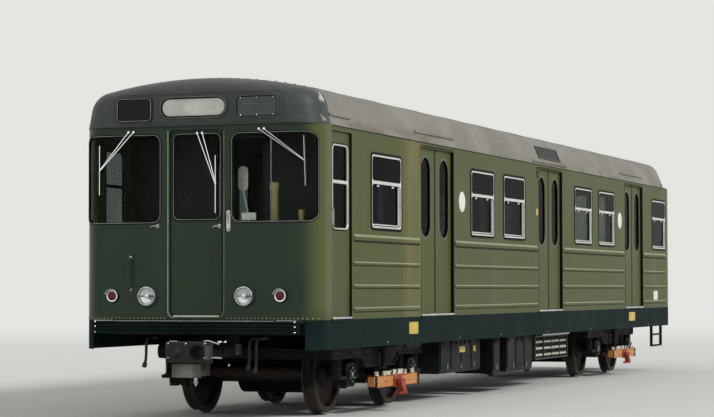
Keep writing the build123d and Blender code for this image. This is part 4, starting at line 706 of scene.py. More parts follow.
def side_loop(side, x, z_low, width, tall, radius, y, steps=6):
    """A rounded outline on one side of the car, anticlockwise as seen from outside."""
    outline = rounded_outline((x, z_low + tall / 2), width, tall, radius, steps)
    if side > 0:
        outline.reverse()
    return [(a, side * y, b) for a, b in outline]


def end_loop(end, y, z_low, width, tall, radius, x, steps=6):
    """A rounded outline that faces along the car, anticlockwise as seen from outside."""
    outline = rounded_outline((y, z_low + tall / 2), width, tall, radius, steps)
    if end < 0:
        outline.reverse()
    return [(end * x, a, b) for a, b in outline]


# Sections of trim, as (across, out) with across away from the opening
RUBBER_LIP = [(0.013, -0.002), (0.013, 0.004), (0.006, 0.0075), (-0.005, 0.006), (-0.010, -0.002),
              (-0.010, -0.013), (-0.002, -0.013)]
FILLER_LINE = [(0.001, 0.005), (0.001, 0.0078), (-0.0015, 0.0085), (-0.004, 0.0075), (-0.004, 0.004)]
THIN_RUBBER = [(0.002, -0.001), (0.002, 0.003), (-0.003, 0.004), (-0.007, 0.001), (-0.007, -0.004)]


# Heads of rivets, screws and bolts, as (out of the surface, radius)
DOME_RIVET = [(-0.002, 0.010), (0.003, 0.010), (0.007, 0.007), (0.009, 0.003)]
FOOT_RIVET = [(-0.002, 0.0085), (0.002, 0.0085), (0.005, 0.005), (0.006, 0.002)]
SKIRT_RIVET = [(-0.002, 0.007), (0.002, 0.007), (0.0045, 0.0045), (0.005, 0.0015)]
ROOF_RIVET = [(-0.001, 0.006), (0.002, 0.006), (0.004, 0.0035), (0.0045, 0.001)]
PLATE_SCREW = [(0.0, 0.0055), (0.002, 0.0055), (0.0035, 0.003), (0.004, 0.001)]
SKIRT_BOLT = [(-0.002, 0.010), (0.004, 0.010), (0.007, 0.007), (0.008, 0.002)]
BEAM_BOLT = [(-0.004, 0.011), (0.004, 0.011), (0.009, 0.007), (0.010, 0.002)]
COVER_BOLT = [(-0.002, 0.010), (0.007, 0.010), (0.009, 0.008), (0.010, 0.003)]
COVER_CAP = [(-0.002, 0.034), (0.006, 0.034), (0.010, 0.028), (0.011, 0.010)]
TIMBER_BOLT = [(-0.003, 0.016), (0.006, 0.016), (0.012, 0.011), (0.013, 0.004)]
COUPLER_BOLT = [(-0.006, 0.013), (0.006, 0.013), (0.011, 0.009), (0.012, 0.003)]


# Front end

# Each windscreen: its middle's Y, then height above the rail, width, height and corner radius
SCREEN_Y = 0.89
SCREEN_OUTLINE = (2.5975, 0.94, 0.955, 0.09)


def make_screen_trim():
    """Rubber round the two windscreens with a bright filler in it."""
    rubber, filler = shapes(2)
    middle, width, tall, radius = SCREEN_OUTLINE
    for side, _ in SIDES:
        outline = rounded_outline((side * SCREEN_Y, height(middle)), width, tall, radius, 7)
        places = [on_front(y, z) for y, z in divided(outline, 0.05)]
        rubber.laid(places, RUBBER_LIP)
        filler.laid(places, FILLER_LINE)
    rubber.make("windscreen_rubbers", RUBBER)
    filler.make("windscreen_fillers", FILLER)


# Lamps: Y and height above the rail, then their turned parts as (out of the front, radius)
HEAD_LAMP = (0.572, 1.327)
HEAD_RING = [(-0.002, 0.122), (0.014, 0.122), (0.026, 0.119), (0.031, 0.112), (0.030, 0.105), (0.002, 0.105)]
HEAD_BEZEL = [(0.010, 0.105), (0.033, 0.105), (0.040, 0.101), (0.041, 0.096), (0.037, 0.092), (0.010, 0.092)]
HEAD_BOWL = [(0.001, 0.0915), (0.034, 0.0915), (0.026, 0.084), (0.017, 0.068), (0.011, 0.048), (0.008, 0.026),
             (0.008, 0.005)]
HEAD_BULB = [(0.008, 0.010), (0.020, 0.013), (0.025, 0.024), (0.032, 0.027), (0.038, 0.020), (0.040, 0.006)]
HEAD_LENS = [(0.038, 0.0915), (0.042, 0.089), (0.048, 0.070), (0.0525, 0.044), (0.0545, 0.018),
             (0.0548, 0.004)]
TAIL_LAMP = (0.99, 1.330)
TAIL_HOLDER = [(-0.002, 0.078), (0.010, 0.078), (0.014, 0.074), (0.014, 0.060), (0.002, 0.060)]
TAIL_RING = [(0.002, 0.070), (0.020, 0.070), (0.028, 0.066), (0.031, 0.059), (0.029, 0.051), (0.002, 0.050)]
TAIL_LENS = [(0.002, 0.0495), (0.025, 0.0495), (0.032, 0.044), (0.038, 0.032), (0.0415, 0.016),
             (0.042, 0.004)]
HOOD_RADIUS = 0.0735
HOOD_SECTION = [(0.001, -0.0015), (0.001, 0.002), (-0.046, 0.0035), (-0.055, 0.002), (-0.055, -0.001)]


def make_lamps():
    """Head lamps with a chrome bowl behind a clear lens, and red tail lamps under chrome hoods."""
    rings, bowls, horizon_reflections, lenses, holders, reds, hoods = shapes(7)
    for side, _ in SIDES:
        y, z = side * HEAD_LAMP[0], height(HEAD_LAMP[1])
        rings.turned(HEAD_RING, (X_FRONT, y, z), FORWARD, 40, closed=True)
        bowls.turned(HEAD_BEZEL, (X_FRONT, y, z), FORWARD, 40, closed=True)
        bowls.turned(HEAD_BOWL, (X_FRONT, y, z), FORWARD, 40)
        bowls.turned(HEAD_BULB, (X_FRONT, y, z), FORWARD, 20)
        # A dark bar across each head lamp, a painted reflection of the horizon in its lens
        horizon_reflections.block((X_FRONT + 0.024, X_FRONT + 0.029), about(y, 0.088), about(z, 0.0045), 0.0015)
        lenses.turned(HEAD_LENS, (X_FRONT, y, z), FORWARD, 40)
        y, z = side * TAIL_LAMP[0], height(TAIL_LAMP[1])
        holders.turned(TAIL_HOLDER, (X_FRONT, y, z), FORWARD, 32, closed=True)
        bowls.turned(TAIL_RING, (X_FRONT, y, z), FORWARD, 32, closed=True)
        reds.turned(TAIL_LENS, (X_FRONT, y, z), FORWARD, 32)
        arc = [radians(12 + 156 * k / 18) for k in range(19)]
        hoods.laid([((X_FRONT, y + HOOD_RADIUS * cos(a), z + HOOD_RADIUS * sin(a)), (0, cos(a), sin(a)))
                    for a in arc], HOOD_SECTION, closed=False)
    ring = rings.make("head_lamp_rings", SHADED_END_PAINT)
    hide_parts("lamps")
    bowls.make("head_lamp_bowls", CHROME)
    horizon_reflections.make("head_lamp_horizon_reflections", RUBBER)
    lenses.make("head_lamp_lenses", LENS_GLASS)
    holders.make("tail_lamp_holders", RUBBER)
    reds.make("tail_lamp_lenses", RED_LENS)
    hoods.make("tail_lamp_hoods", CHROME)


# Displays over the windscreens: middle, width, lowest and highest point above the rail, corner radius
NUMBER_BOX = (-0.716, 0.424, 3.218, 3.480, 0.05)
BLIND_BOX = (-0.010, 0.780, 3.247, 3.473, 0.11)
GRILLE_BOX = (0.731, 0.490, 3.231, 3.471, 0.06)
DISPLAY_RECESS_X, DISPLAY_RIM_X = 8.538, 8.552
BLIND_LIP = [(0.011, -0.002), (0.011, 0.002), (0.004, 0.005), (-0.006, 0.003), (-0.010, -0.006),
             (-0.010, -0.012)]


def display_loop(box, inset, x):
    """An outline inside one display's rim."""
    y, width, low, high, radius = box
    return end_loop(1, y, height(low) + inset, width - 2 * inset, high - low - 2 * inset, radius - inset, x)


def make_displays():
    """The number pane and the blind behind glass, their trim, and the screws of the grille."""
    pane, blind, dark, light, screws = shapes(5)
    pane.slab(display_loop(NUMBER_BOX, 0.018, DISPLAY_RECESS_X), FORWARD, 0.005)
    blind.slab(display_loop(BLIND_BOX, 0.020, DISPLAY_RECESS_X), FORWARD, 0.004)
    dark.swept(display_loop(BLIND_BOX, 0.012, DISPLAY_RIM_X), FORWARD, BLIND_LIP)
    thin = bead(0.006, 0.004)
    light.swept(display_loop(NUMBER_BOX, 0.010, DISPLAY_RIM_X), FORWARD, thin)
    light.swept(display_loop(BLIND_BOX, 0.002, DISPLAY_RIM_X), FORWARD, thin)
    y, width, low, high, _ = GRILLE_BOX
    dark.swept(display_loop(GRILLE_BOX, 0.012, DISPLAY_RIM_X), FORWARD, bead(0.010, 0.003))
    for row in (low + 0.026, high - 0.026):
        for column in (-1, 0, 1):
            place = (DISPLAY_RIM_X - 0.009, y + column * (width / 2 - 0.055), height(row))
            screws.turned([(-0.004, 0.008), (0.008, 0.008), (0.0105, 0.006), (0.011, 0.002)],
                          place, FORWARD, 12)
    pane.make("number_pane", DISPLAY)
    blind.make("destination_blind", BLIND)
    dark.make("display_rubbers", RUBBER)
    light.make("display_edging", FILLER)
    screws.make("grille_screws", POLISHED)


def make_dome_trim():
    """The raised border round the displays, the drip edge below it and the rivets behind the dome."""
    dome = Skin("front_dome")
    border, rivets = shapes(2)
    ahead, back, above = 9.5, (-1, 0, 0), 4.5
    outline = divided(rounded_outline((0.045, height(3.358)), 2.03, 0.322, 0.11, 7), 0.06)
    border.laid([dome.hit((ahead, y, z), back) for y, z in outline], bead(0.022, 0.008))
    hits = [dome.hit((ahead, y, height(3.176)), back) for y in evenly(-1.2, 1.2, 0.06)]
    border.laid([hit for hit in hits if hit[0]], bead(0.018, 0.006), closed=False)
    for y in evenly(-1.32, 1.32, 0.11):
        rivets.turned(DOME_RIVET, *dome.hit((8.105, y, above), DOWN), 10)
    border.make("dome_border", DOME_PAINT)
    rivets.make("dome_rivets", DOME_PAINT)


def make_end_rivets():
    """A row of small rivets along the foot of each end, either side of its door."""
    for end, name in ENDS:
        rivets = Shape()
        for y in evenly(0.375, 1.36, 0.045):
            for side, _ in SIDES:
                rivets.turned(FOOT_RIVET, *on_end(end, side * y, height(1.088)), 8)
        # The rivet heads are picked out in painted highlight
        rivets.make(f"{name}_foot_rivets", HIGHLIGHT_PAINT)


# Opening of an end door: half its width, foot, foot's corner radius and top
END_OPENING = (0.330, height(1.092), 0.075, height(3.118))
JAMB_HIGHLIGHT = [(0.005, 0.004), (0.005, 0.0085), (0.0, 0.010), (-0.005, 0.0085), (-0.005, 0.004)]


def make_end_door_trim():
    """Rubber and filler round the end door's window, mouldings round its opening, and a bright threshold."""
    half, low, radius, top = END_OPENING
    for end, name in ENDS:
        door, facing = f"{name}_end_door", (end, 0, 0)
        rubber, filler, reveal, surround, wear_and_highlight, gap, threshold = shapes(7)
        loop = end_loop(end, 0, height(2.150), 0.56, 0.93, 0.07, END_DOOR_FACE, 8)
        rubber.swept(loop, facing, RUBBER_LIP)
        filler.swept(loop, facing, FILLER_LINE)
        loop = end_loop(end, 0, height(2.128), 0.600, 0.974, 0.095, END_DOOR_FACE, 8)
        reveal.swept(loop, facing, bead(0.010, 0.005))
        rubber.make(f"{door}_rubber", RUBBER, door)
        filler.make(f"{door}_filler", FILLER, door)
        reveal.make(f"{door}_moulding", SHADED_END_PAINT, door)
        corner = [(half - radius + radius * sin(a), low + radius - radius * cos(a)) for a in QUARTER]
        outline = [(half, top)] + corner[::-1]
        outline = [(-y, z) for y, z in outline] + outline[::-1]
        path = [(end * X_FRONT, y, z) for y, z in outline]
        # The surround is painted lighter than the shaded end paint, as a painted highlight on the mouldings
        surround.swept(path, facing, bead(0.020, 0.007), closed=False)
        surround.make(f"{name}_door_surround", SURROUND_HIGHLIGHT_PAINT)
        # A painted highlight down the left jamb and round its foot
        wear_and_highlight.swept([p for p in path if p[1] < half - radius], facing, JAMB_HIGHLIGHT, closed=False)
        gap.swept([(end * 8.4995, half - 0.020, z) for z in (height(1.16), height(2.0), top)], facing,
                  bead(0.014, 0.004), closed=False)
        wear_and_highlight.make(f"{name}_jamb_highlight", HIGHLIGHT_PAINT)
        gap.make(f"{name}_jamb_seal", RUBBER)
        threshold.block((end * 8.474, end * 8.503), (-0.27, 0.27), heights(1.104, 1.117))
        for k in range(5):
            threshold.block(about(end * (8.479 + 0.005 * k), 0.001), (-0.262, 0.262),
                            heights(1.116, 1.119), 0.0005)
        threshold.make(f"{name}_door_threshold", ALUMINIUM)


LOCK_Y = 0.385
HATCH_SIDE, HATCH_TOP, HATCH_RADIUS = -1.19, 2.075, 0.09


def make_front_fittings():
    """Handles, the lock and a hatch's outline on the cab front, and a blank card behind its left screen."""
    bright, door_handle, hatch, card = shapes(4)
    lever_handle(bright, X_FRONT, -0.455, height(2.085), -0.07)
    lever_handle(door_handle, END_DOOR_FACE, 0.262, height(2.079), -0.06)
    door_handle.make("front_end_door_handle", POLISHED, "front_end_door", slot="handle_paint")
    bright.slab(end_loop(1, LOCK_Y, height(2.02), 0.044, 0.225, 0.014, X_FRONT), FORWARD, 0.006)
    for z in (2.045, 2.12, 2.215):
        bright.turned([(0.004, 0.013), (0.014, 0.013), (0.020, 0.009), (0.021, 0.003)],
                      (X_FRONT, LOCK_Y, height(z)), FORWARD, 16)
    bright.tube([(X_FRONT + 0.016, LOCK_Y, height(2.12)), (X_FRONT + 0.026, 0.380, height(2.16)),
                 (X_FRONT + 0.020, 0.372, height(2.20))], 0.005, 8)
    # Feet of the grab handle
    for z in (1.432, 1.774):
        bright.turned([(-0.001, 0.020), (0.004, 0.020), (0.008, 0.014), (0.010, 0.011)], (X_FRONT, -0.78, z),
                      FORWARD, 16)
    bright.make("front_locks_and_handles", POLISHED, slot="handle_paint")
    corner = [(HATCH_SIDE + HATCH_RADIUS * (1 - cos(a)), HATCH_TOP - HATCH_RADIUS * (1 - sin(a)))
              for a in QUARTER]
    line = [(HATCH_SIDE, 1.42)] + corner + [(-0.46, HATCH_TOP)]
    hatch.laid([on_front(y, height(z)) for y, z in divided(line, 0.05, closed=False)], bead(0.015, 0.005),
               closed=False)
    hatch.make("front_hatch_edge", SHADED_END_PAINT)
    card.block((8.452, 8.4545), (0.517, 0.684), heights(2.140, 2.218), 0.0008)
    card.make("blank_card", CARD, slot="interior_panel")


def lever_handle(shape, x, y, z, reach):
    """A turned boss with a neck and a drop-ended lever."""
    shape.turned([(-0.001, 0.022), (0.004, 0.022), (0.008, 0.017), (0.010, 0.010), (0.028, 0.009),
                  (0.032, 0.006)], (x, y, z), FORWARD, 16)
    shape.tube([(x + 0.027, y - reach * 0.12, z), (x + 0.030, y + reach * 0.4, z + 0.002),
                (x + 0.028, y + reach * 0.9, z - 0.004), (x + 0.024, y + reach, z - 0.016)], 0.0065, 10)


BEAM_FACE_X, BEAM_TOP = 8.570, height(1.062)


def make_beam_trim():
    """Edge strips, treads, bolts and ribs on the beams at both ends."""
    for end, name in ENDS:
        bright, dull = shapes(2)
        face = end * BEAM_FACE_X
        for low, high in ((-1.195, -0.955), (0.955, 1.195)):
            bright.block((face - end * 0.064, face - end * 0.004), (low, high),
                         (BEAM_TOP - 0.001, BEAM_TOP + 0.005), 0.002)
            for k in range(6):
                bright.block(about(face - end * 0.010 * (k + 1), 0.002), (low + 0.006, high - 0.006),
                             (BEAM_TOP + 0.004, BEAM_TOP + 0.007), 0.0008)
        bright.block((face - end * 0.012, face + end * 0.002), (-0.94, 0.94),
                     (BEAM_TOP - 0.004, BEAM_TOP + 0.003), 0.0015)
        for z in (0.94, 1.0, 1.05):
            for side, _ in SIDES:
                bright.turned(BEAM_BOLT, (face, side * 1.172, height(z)), (end, 0, 0), 10)
        for z in (0.948, 0.985, 1.022):
            dull.block((face - end * 0.004, face + end * 0.006), (-1.13, 1.13), about(height(z), 0.0045))
        bright.make(f"{name}_beam_edging", POLISHED)
        dull.make(f"{name}_beam_ribs", SKIRT_PAINT)


# Sides

# Window of a sliding leaf: its middle from the doorway's, foot above the rail, width, height, corner radius
LEAF_WINDOW = (0.352, 2.035, 0.340, 0.955, 0.168)
LEAF_FACE_Y = 1.360
LEAF_RUBBER = [(0.012, -0.002), (0.012, 0.002), (0.004, 0.0035), (-0.006, 0.003), (-0.009, -0.004),
               (-0.009, -0.013)]
LEAF_EDGING = [(0.019, 0.0), (0.019, 0.002), (0.014, 0.0035), (0.010, 0.002)]


def make_leaf_trim():
    """Rubber round each sliding leaf's window, and the nosing on its meeting edge."""
    reach, foot, width, tall, radius = LEAF_WINDOW
    for side, side_name in SIDES:
        for number, middle in enumerate(DOORWAYS, 1):
            for way, way_name in ENDS:
                body = f"{side_name}_door_{number}_{way_name}_leaf"
                trim, light = shapes(2)
                loop = side_loop(side, middle + way * reach, height(foot), width, tall, radius,
                                 LEAF_FACE_Y, 8)
                trim.swept(loop, (0, side, 0), LEAF_RUBBER)
                light.swept(loop, (0, side, 0), LEAF_EDGING)
                edge = middle + way * 0.007
                trim.block((edge, edge + way * 0.016), (side * 1.330, side * 1.3625),
                           heights(1.105, 3.135), 0.004)
                trim.make(f"{body}_rubbers", RUBBER, body)
                light.make(f"{body}_window_edge", FILLER, body)


# Sills: middle, half length of the treads and of the nosing
SILLS = [(middle, 0.62, 0.63) for middle in DOORWAYS] + [(station(CAB_DOOR_BACK), 0.285, 0.29)]


def make_doorway_trim():
    """Dark seals down the doorway jambs and across their heads, and a dark bead along the cant rail, also
    painted shade of the recesses and of the roof's edge; ribbed treads on the sills.
    """
    seals_and_shade_lines, treads = shapes(2)
    for side, _ in SIDES:
        # Dark rubber seals down the jambs and across the heads, also painted shade of the recessed doorways
        for middle in DOORWAYS:
            for way in (1, -1):
                x = middle + way * DOORWAY_HALF
                seals_and_shade_lines.block((x - way * 0.010, x + way * 0.003), (side * 1.368, side * 1.402),
                            heights(1.10, 3.13))
            seals_and_shade_lines.block(about(middle, 0.628), (side * 1.372, side * 1.402), heights(3.118, 3.134))
        for middle, tread_half, nosing_half in SILLS:
            for k in range(6):
                treads.block(about(middle, tread_half), about(side * (1.340 + 0.011 * k), 0.0025),
                             heights(1.0945, 1.0985), 0.0012)
            treads.block(about(middle, nosing_half), (side * 1.4035, side * 1.4095),
                         heights(1.077, 1.0965), 0.002)
        # Dark seal at the cab door's rear jamb, also painted shade
        seals_and_shade_lines.block((station(1.048), station(1.040)), (side * 1.378, side * 1.402), heights(1.10, 3.10),
                    0.002)
        # A dark bead along the cant rail, painted shade under the roof's edge
        seals_and_shade_lines.swept([(x, side * HALF_WIDTH, height(3.164)) for x in evenly(-8.36, 8.06, 0.6)], (0, side, 0),
                    bead(0.011, 0.006), closed=False)
    seals_and_shade_lines.make("doorway_seals_and_shade_lines", RUBBER)
    treads.make("sill_treads", ALUMINIUM)


CAB_DOOR_FACE_Y = 1.375
CAB_WINDOW_FRAME = [(0.012, -0.002), (0.012, 0.005), (0.008, 0.008), (0.002, 0.008), (-0.004, 0.002),
                    (-0.004, -0.018)]
CAB_WINDOW_RUBBER = [(0.026, -0.002), (0.026, 0.003), (0.020, 0.006), (0.013, 0.005), (0.011, -0.002)]


def make_cab_door_trim():
    """Bright frame, divider, grab handle and lock on each cab door."""
    middle = station(CAB_DOOR_BACK)
    for side, side_name in SIDES:
        body, facing = f"{side_name}_cab_door", (0, side, 0)
        rim, rubber, handle = shapes(3)
        loop = side_loop(side, middle, height(2.058), 0.461, 0.901, 0.06, CAB_DOOR_FACE_Y, 7)
        rim.swept(loop, facing, CAB_WINDOW_FRAME)
        rubber.swept(loop, facing, CAB_WINDOW_RUBBER)
        rim.block(about(middle, 0.226), (side * 1.358, side * 1.376), heights(2.545, 2.583), 0.004)
        rim.make(f"{body}_window_frame", WHITE_METAL, body)
        loop = side_loop(side, middle, height(2.066), 0.445, 0.885, 0.052, 1.360, 7)
        rubber.swept(loop, facing, THIN_RUBBER)
        rubber.make(f"{body}_window_rubber", RUBBER, body)
        x, y = station(0.49), side * CAB_DOOR_FACE_Y
        for z in (2.085, 2.255):
            handle.turned([(-0.001, 0.014), (0.004, 0.014), (0.007, 0.010), (0.020, 0.007)],
                          (x, y, height(z)), facing, 12)
        grip = ((0.018, 2.065), (0.024, 2.085), (0.026, 2.17), (0.024, 2.255), (0.018, 2.275))
        handle.tube([(x, y + side * out, height(z)) for out, z in grip], 0.0075, 10)
        handle.turned([(-0.001, 0.017), (0.005, 0.017), (0.008, 0.012), (0.009, 0.004)], (x, y, height(1.93)),
                      facing, 16)
        handle.make(f"{body}_handle", POLISHED, body, slot="handle_paint")


# Rubbers of a side window: foot above the rail, width, height, corner radius, Y, points a corner, section
PANE_RUBBERS = (
    (2.112, 0.965, 0.480, 0.032, 1.3745, 4,
     [(0.004, -0.003), (0.004, 0.004), (-0.003, 0.005), (-0.007, 0.001), (-0.007, -0.003)]),
    (2.627, 0.965, 0.275, 0.032, 1.3990, 4,
     [(0.004, -0.003), (0.004, 0.002), (-0.003, 0.003), (-0.007, 0.001), (-0.007, -0.003)]),
    (2.069, 1.051, 0.874, 0.070, 1.404, 6,
     [(0.007, -0.003), (0.007, 0.002), (0.001, 0.0055), (-0.018, 0.005), (-0.023, 0.001), (-0.023, -0.002)]),
)


def make_pane_rubbers():
    """Rubber round the frames of the side windows and round both panes, and the sash of the lower one."""
    rubber, stiles = shapes(2)
    for side, _ in SIDES:
        for x in map(station, SIDE_WINDOWS):
            for foot, width, tall, radius, y, steps, section in PANE_RUBBERS:
                loop = side_loop(side, x, height(foot), width, tall, radius, y, steps)
                rubber.swept(loop, (0, side, 0), section)
            rear = x - 0.4625
            stiles.block((rear, rear + 0.030), (side * 1.376, side * 1.394), heights(2.135, 2.585))
            stiles.block((rear + 0.030, x + 0.462), (side * 1.376, side * 1.388), heights(2.122, 2.137))
            for dx in (-0.25, 0.25):
                stiles.block(about(x + dx, 0.030), (side * 1.376, side * 1.392), heights(2.560, 2.584),
                             0.004)
    rubber.make("side_pane_rubbers", RUBBER)
    stiles.make("side_sashes", WHITE_METAL)


# Blank plates on the skirts, between two stations, and on the cases, as (X, width); X of the white discs
SKIRT_PLATES = ((2.963, 3.287), (14.03, 14.45))
CASE_PLATES = ((2.90, 0.24), (2.375, 0.085))
WHITE_DISCS = (3.474, -4.930)


def make_side_fittings():
    """Door lamps beside the middle doorways, blank signs and plates, and bolts and rivets of the skirts."""
    lamps, ambers, plates, rivets, screws, discs = shapes(6)
    for side, _ in SIDES:
        facing, y = (0, side, 0), side * HALF_WIDTH
        x = DOORWAYS[1] + 0.70
        lamps.slab(side_loop(side, x, height(2.975), 0.062, 0.150, 0.016, 1.398), facing, 0.0075, 0.003)
        for z in (3.015, 3.085):
            ambers.turned([(0.0, 0.018), (0.003, 0.018), (0.0040, 0.010), (0.0042, 0.003)],
                          (x, side * 1.4055, height(z)), facing, 16)
        for near, far in SKIRT_PLATES:
            middle, half = station((near + far) / 2), (far - near) / 2
            loop = side_loop(side, middle, height(0.868), 2 * half, 0.142, 0.020, 1.3995)
            plates.slab(loop, facing, 0.005, 0.0015)
            for dx in (-half + 0.018, half - 0.018):
                for z in (0.886, 0.992):
                    screws.turned(PLATE_SCREW, (middle + dx, side * 1.4040, height(z)), facing, 8)
        for s in (2.2, 4.9, 6.7, 9.0, 11.5, 13.3, 15.4):
            screws.turned(SKIRT_BOLT, (station(s), y, height(0.79)), facing, 12)
        for s in evenly(0.9, 16.5, 0.26):
            rivets.turned(SKIRT_RIVET, (station(s), y, height(1.045)), facing, 8)
    lamps.make("door_signal_lamps", RUBBER)
    ambers.make("door_signal_lenses", AMBER_LENS)
    for x, width in CASE_PLATES:
        plates.slab(side_loop(1, x, 0.610, width, 0.078, 0.010, 1.2095), (0, 1, 0), 0.004, 0.0012)
    for side, _ in SIDES:
        facing, y = (0, side, 0), side * HALF_WIDTH
        for x in WHITE_DISCS:
            discs.turned([(-0.001, 0.130), (0.0015, 0.130), (0.003, 0.127), (0.0032, 0.060)], (x, y, 2.530),
                         facing, 48)
        discs.slab(side_loop(side, -7.507, 1.233, 0.30, 0.150, 0.010, 1.3995), facing, 0.004, 0.0012)
        plates.turned([(-0.001, 0.052), (0.0015, 0.052), (0.003, 0.050), (0.0032, 0.020)], (-0.005, y, 2.512),
                      facing, 32)
    discs.make("blank_white_signs", CARD)
    plates.make("blank_skirt_plates", YELLOW_PLATE)
    screws.make("skirt_bolts", POLISHED)
    rivets.make("skirt_rivets", SKIRT_PAINT)


def make_roof_seams():
    """Lap strips down each shoulder of the roof, with a row of rivets beside each."""
    roof = Skin("roof")
    seams, rivets = shapes(2)
    above = 4.5
    for x in evenly(-7.6, 7.2, 1.48):
        for side, _ in SIDES:
            line = [side * y for y in evenly(0.42, 1.33, 0.07)]
            seams.laid([roof.hit((x, y, above), DOWN) for y in line], bead(0.030, 0.004), closed=False)
            for y in line:
                rivets.turned(ROOF_RIVET, *roof.hit((x + 0.026, y, above), DOWN), 6)
    seams.make("roof_seams", ROOF_PAINT)
    rivets.make("roof_rivets", ROOF_PAINT)


# Running gear and underframe

# Brake pipe of a side frame, as (from the bogie's middle, Z), and the jumpers of a collector beam,
# as (Y, Z) and as (along the beam, Y, Z)
BRAKE_PIPE = ((-1.46, 0.812), (-1.2, 0.812), (-0.42, 0.812), (-0.34, 0.80), (-0.27, 0.762), (0.27, 0.762),
              (0.34, 0.80), (0.42, 0.812), (1.2, 0.812), (1.46, 0.812))
SHORT_JUMPER = ((1.278, 0.440), (1.296, 0.455), (1.296, 0.480), (1.275, 0.500), (1.225, 0.502),
                (1.205, 0.480), (1.203, 0.440))
LONG_JUMPER = ((0, 1.250, 0.470), (0.01, 1.262, 0.500), (0.05, 1.275, 0.522), (0.13, 1.280, 0.528),
               (0.21, 1.275, 0.522), (0.25, 1.262, 0.500), (0.26, 1.250, 0.470))
INSULATOR = [(0.0, 0.026), (0.010, 0.030), (0.018, 0.022), (0.026, 0.030), (0.034, 0.022), (0.042, 0.030),
             (0.052, 0.020), (0.056, 0.008)]
COVER_Y, COVER_BOLT_CIRCLE = 1.117, 0.078


def make_bogie_trim():
    """Bolts of the axlebox covers, brake pipes, and insulators, bolts and jumpers of the collector beams."""
    for end, name in ENDS:
        body, centre = f"{name}_bogie", end * BOGIE_X
        bolts, pipes, insulators, cables, timber_bolts = shapes(5)
        for side, _ in SIDES:
            facing = (0, side, 0)
            for x in (centre + AXLE_X, centre - AXLE_X):
                for k in range(6):
                    angle = 2 * pi * (k + 0.5) / 6
                    place = (x + COVER_BOLT_CIRCLE * cos(angle), side * COVER_Y,
                             AXLE_Z + COVER_BOLT_CIRCLE * sin(angle))
                    bolts.turned(COVER_BOLT, place, facing, 6)
                bolts.turned(COVER_CAP, (x, side * COVER_Y, AXLE_Z), facing, 20)
            pipes.tube([(centre + dx, side * 1.090, z) for dx, z in BRAKE_PIPE], 0.011, 8)
            for dx in (-1.1, -0.6, 0.6, 1.1):
                pipes.block(about(centre + dx, 0.014), (side * 1.074, side * 1.104), (0.797, 0.826))
            for dx in (-0.62, -0.36, 0.36, 0.62):
                insulators.turned(INSULATOR, (centre + dx, side * 1.250, 0.423), UP, 18)
                timber_bolts.turned(TIMBER_BOLT, (centre + dx * 1.12, side * 1.290, 0.360), facing, 6)
            insulators.block((centre - end * 0.30, centre + end * 0.10), (side * 1.222, side * 1.278),
                             (0.4225, 0.486), 0.010)
            insulators.block((centre + end * 0.14, centre + end * 0.30), (side * 1.226, side * 1.274),
                             (0.4225, 0.476), 0.010)
            for dx in (-0.22, 0.02, 0.20):
                cables.tube([(centre + end * dx, side * y, z) for y, z in SHORT_JUMPER], 0.009, 8)
            for dx in (-0.62, 0.36):
                cables.tube([(centre + dx + onward, side * y, z) for onward, y, z in LONG_JUMPER], 0.008, 8)
        bolts.make(f"{name}_axlebox_bolts", BOLT_STEEL, body)
        pipes.make(f"{name}_bogie_pipes", UNDERFRAME, body)
        insulators.make(f"{name}_beam_insulators", PORCELAIN, body)
        cables.make(f"{name}_beam_jumpers", RUBBER, body)
        timber_bolts.make(f"{name}_beam_bolts", BOLT_STEEL, body)


# Bars on a coupler's head as (path, radius, sides), with X and Y as on the front one
COUPLER_BARS = (
    (((8.700, 0.190, 0.876), (8.706, 0.250, 0.880), (8.716, 0.330, 0.858), (8.720, 0.370, 0.846)), 0.010, 10),
    (((8.715, 0.235, 0.704), (8.715, 0.300, 0.704), (8.715, 0.400, 0.700)), 0.009, 10),
    (((8.70, -0.215, 0.872), (8.70, -0.12, 0.872)), 0.008, 8),
)
COUPLER_FACE_X = 8.750
DRAIN_COCK = [(-0.02, 0.026), (0.0, 0.026), (0.006, 0.018), (0.040, 0.018), (0.046, 0.026), (0.060, 0.026),
              (0.066, 0.014), (0.090, 0.012), (0.094, 0.004)]


def make_coupler_trim():
    """Levers, face bolts and a drain cock on each coupler's head."""
    for end, name in ENDS:
        bright = Shape()
        for path, radius, sides in COUPLER_BARS:
            bright.tube([(end * x, end * y, z) for x, y, z in path], radius, sides)
        for y, z in ((-0.205, 0.850), (0.222, 0.850), (-0.205, 0.700), (0.222, 0.700), (0.0, 0.850)):
            bright.turned(COUPLER_BOLT, (end * COUPLER_FACE_X, end * y, z), (end, 0, 0), 6)
        bright.turned(DRAIN_COCK, (end * 8.715, end * 0.10, 0.492), DOWN, 16)
        bright.make(f"{name}_coupler_fittings", POLISHED, f"{name}_coupler")


# Equipment cases: rear and front X, the face's Y, lowest and highest point above the rail, sides of the car
CASES = ((-0.22, 1.04, 1.258, 0.26, 0.75, (1, -1)), (1.36, 1.68, 1.258, 0.26, 0.75, (1, -1)),
         (2.10, 3.80, 1.208, 0.33, 0.76, (1,)), (1.80, 3.80, 1.258, 0.33, 0.76, (-1,)))
LID_LENGTH = 0.6
SPOOL = [(-0.030, 0.008), (-0.026, 0.019), (-0.010, 0.021), (-0.004, 0.013), (0.004, 0.013), (0.010, 0.021),
         (0.026, 0.019), (0.030, 0.008)]


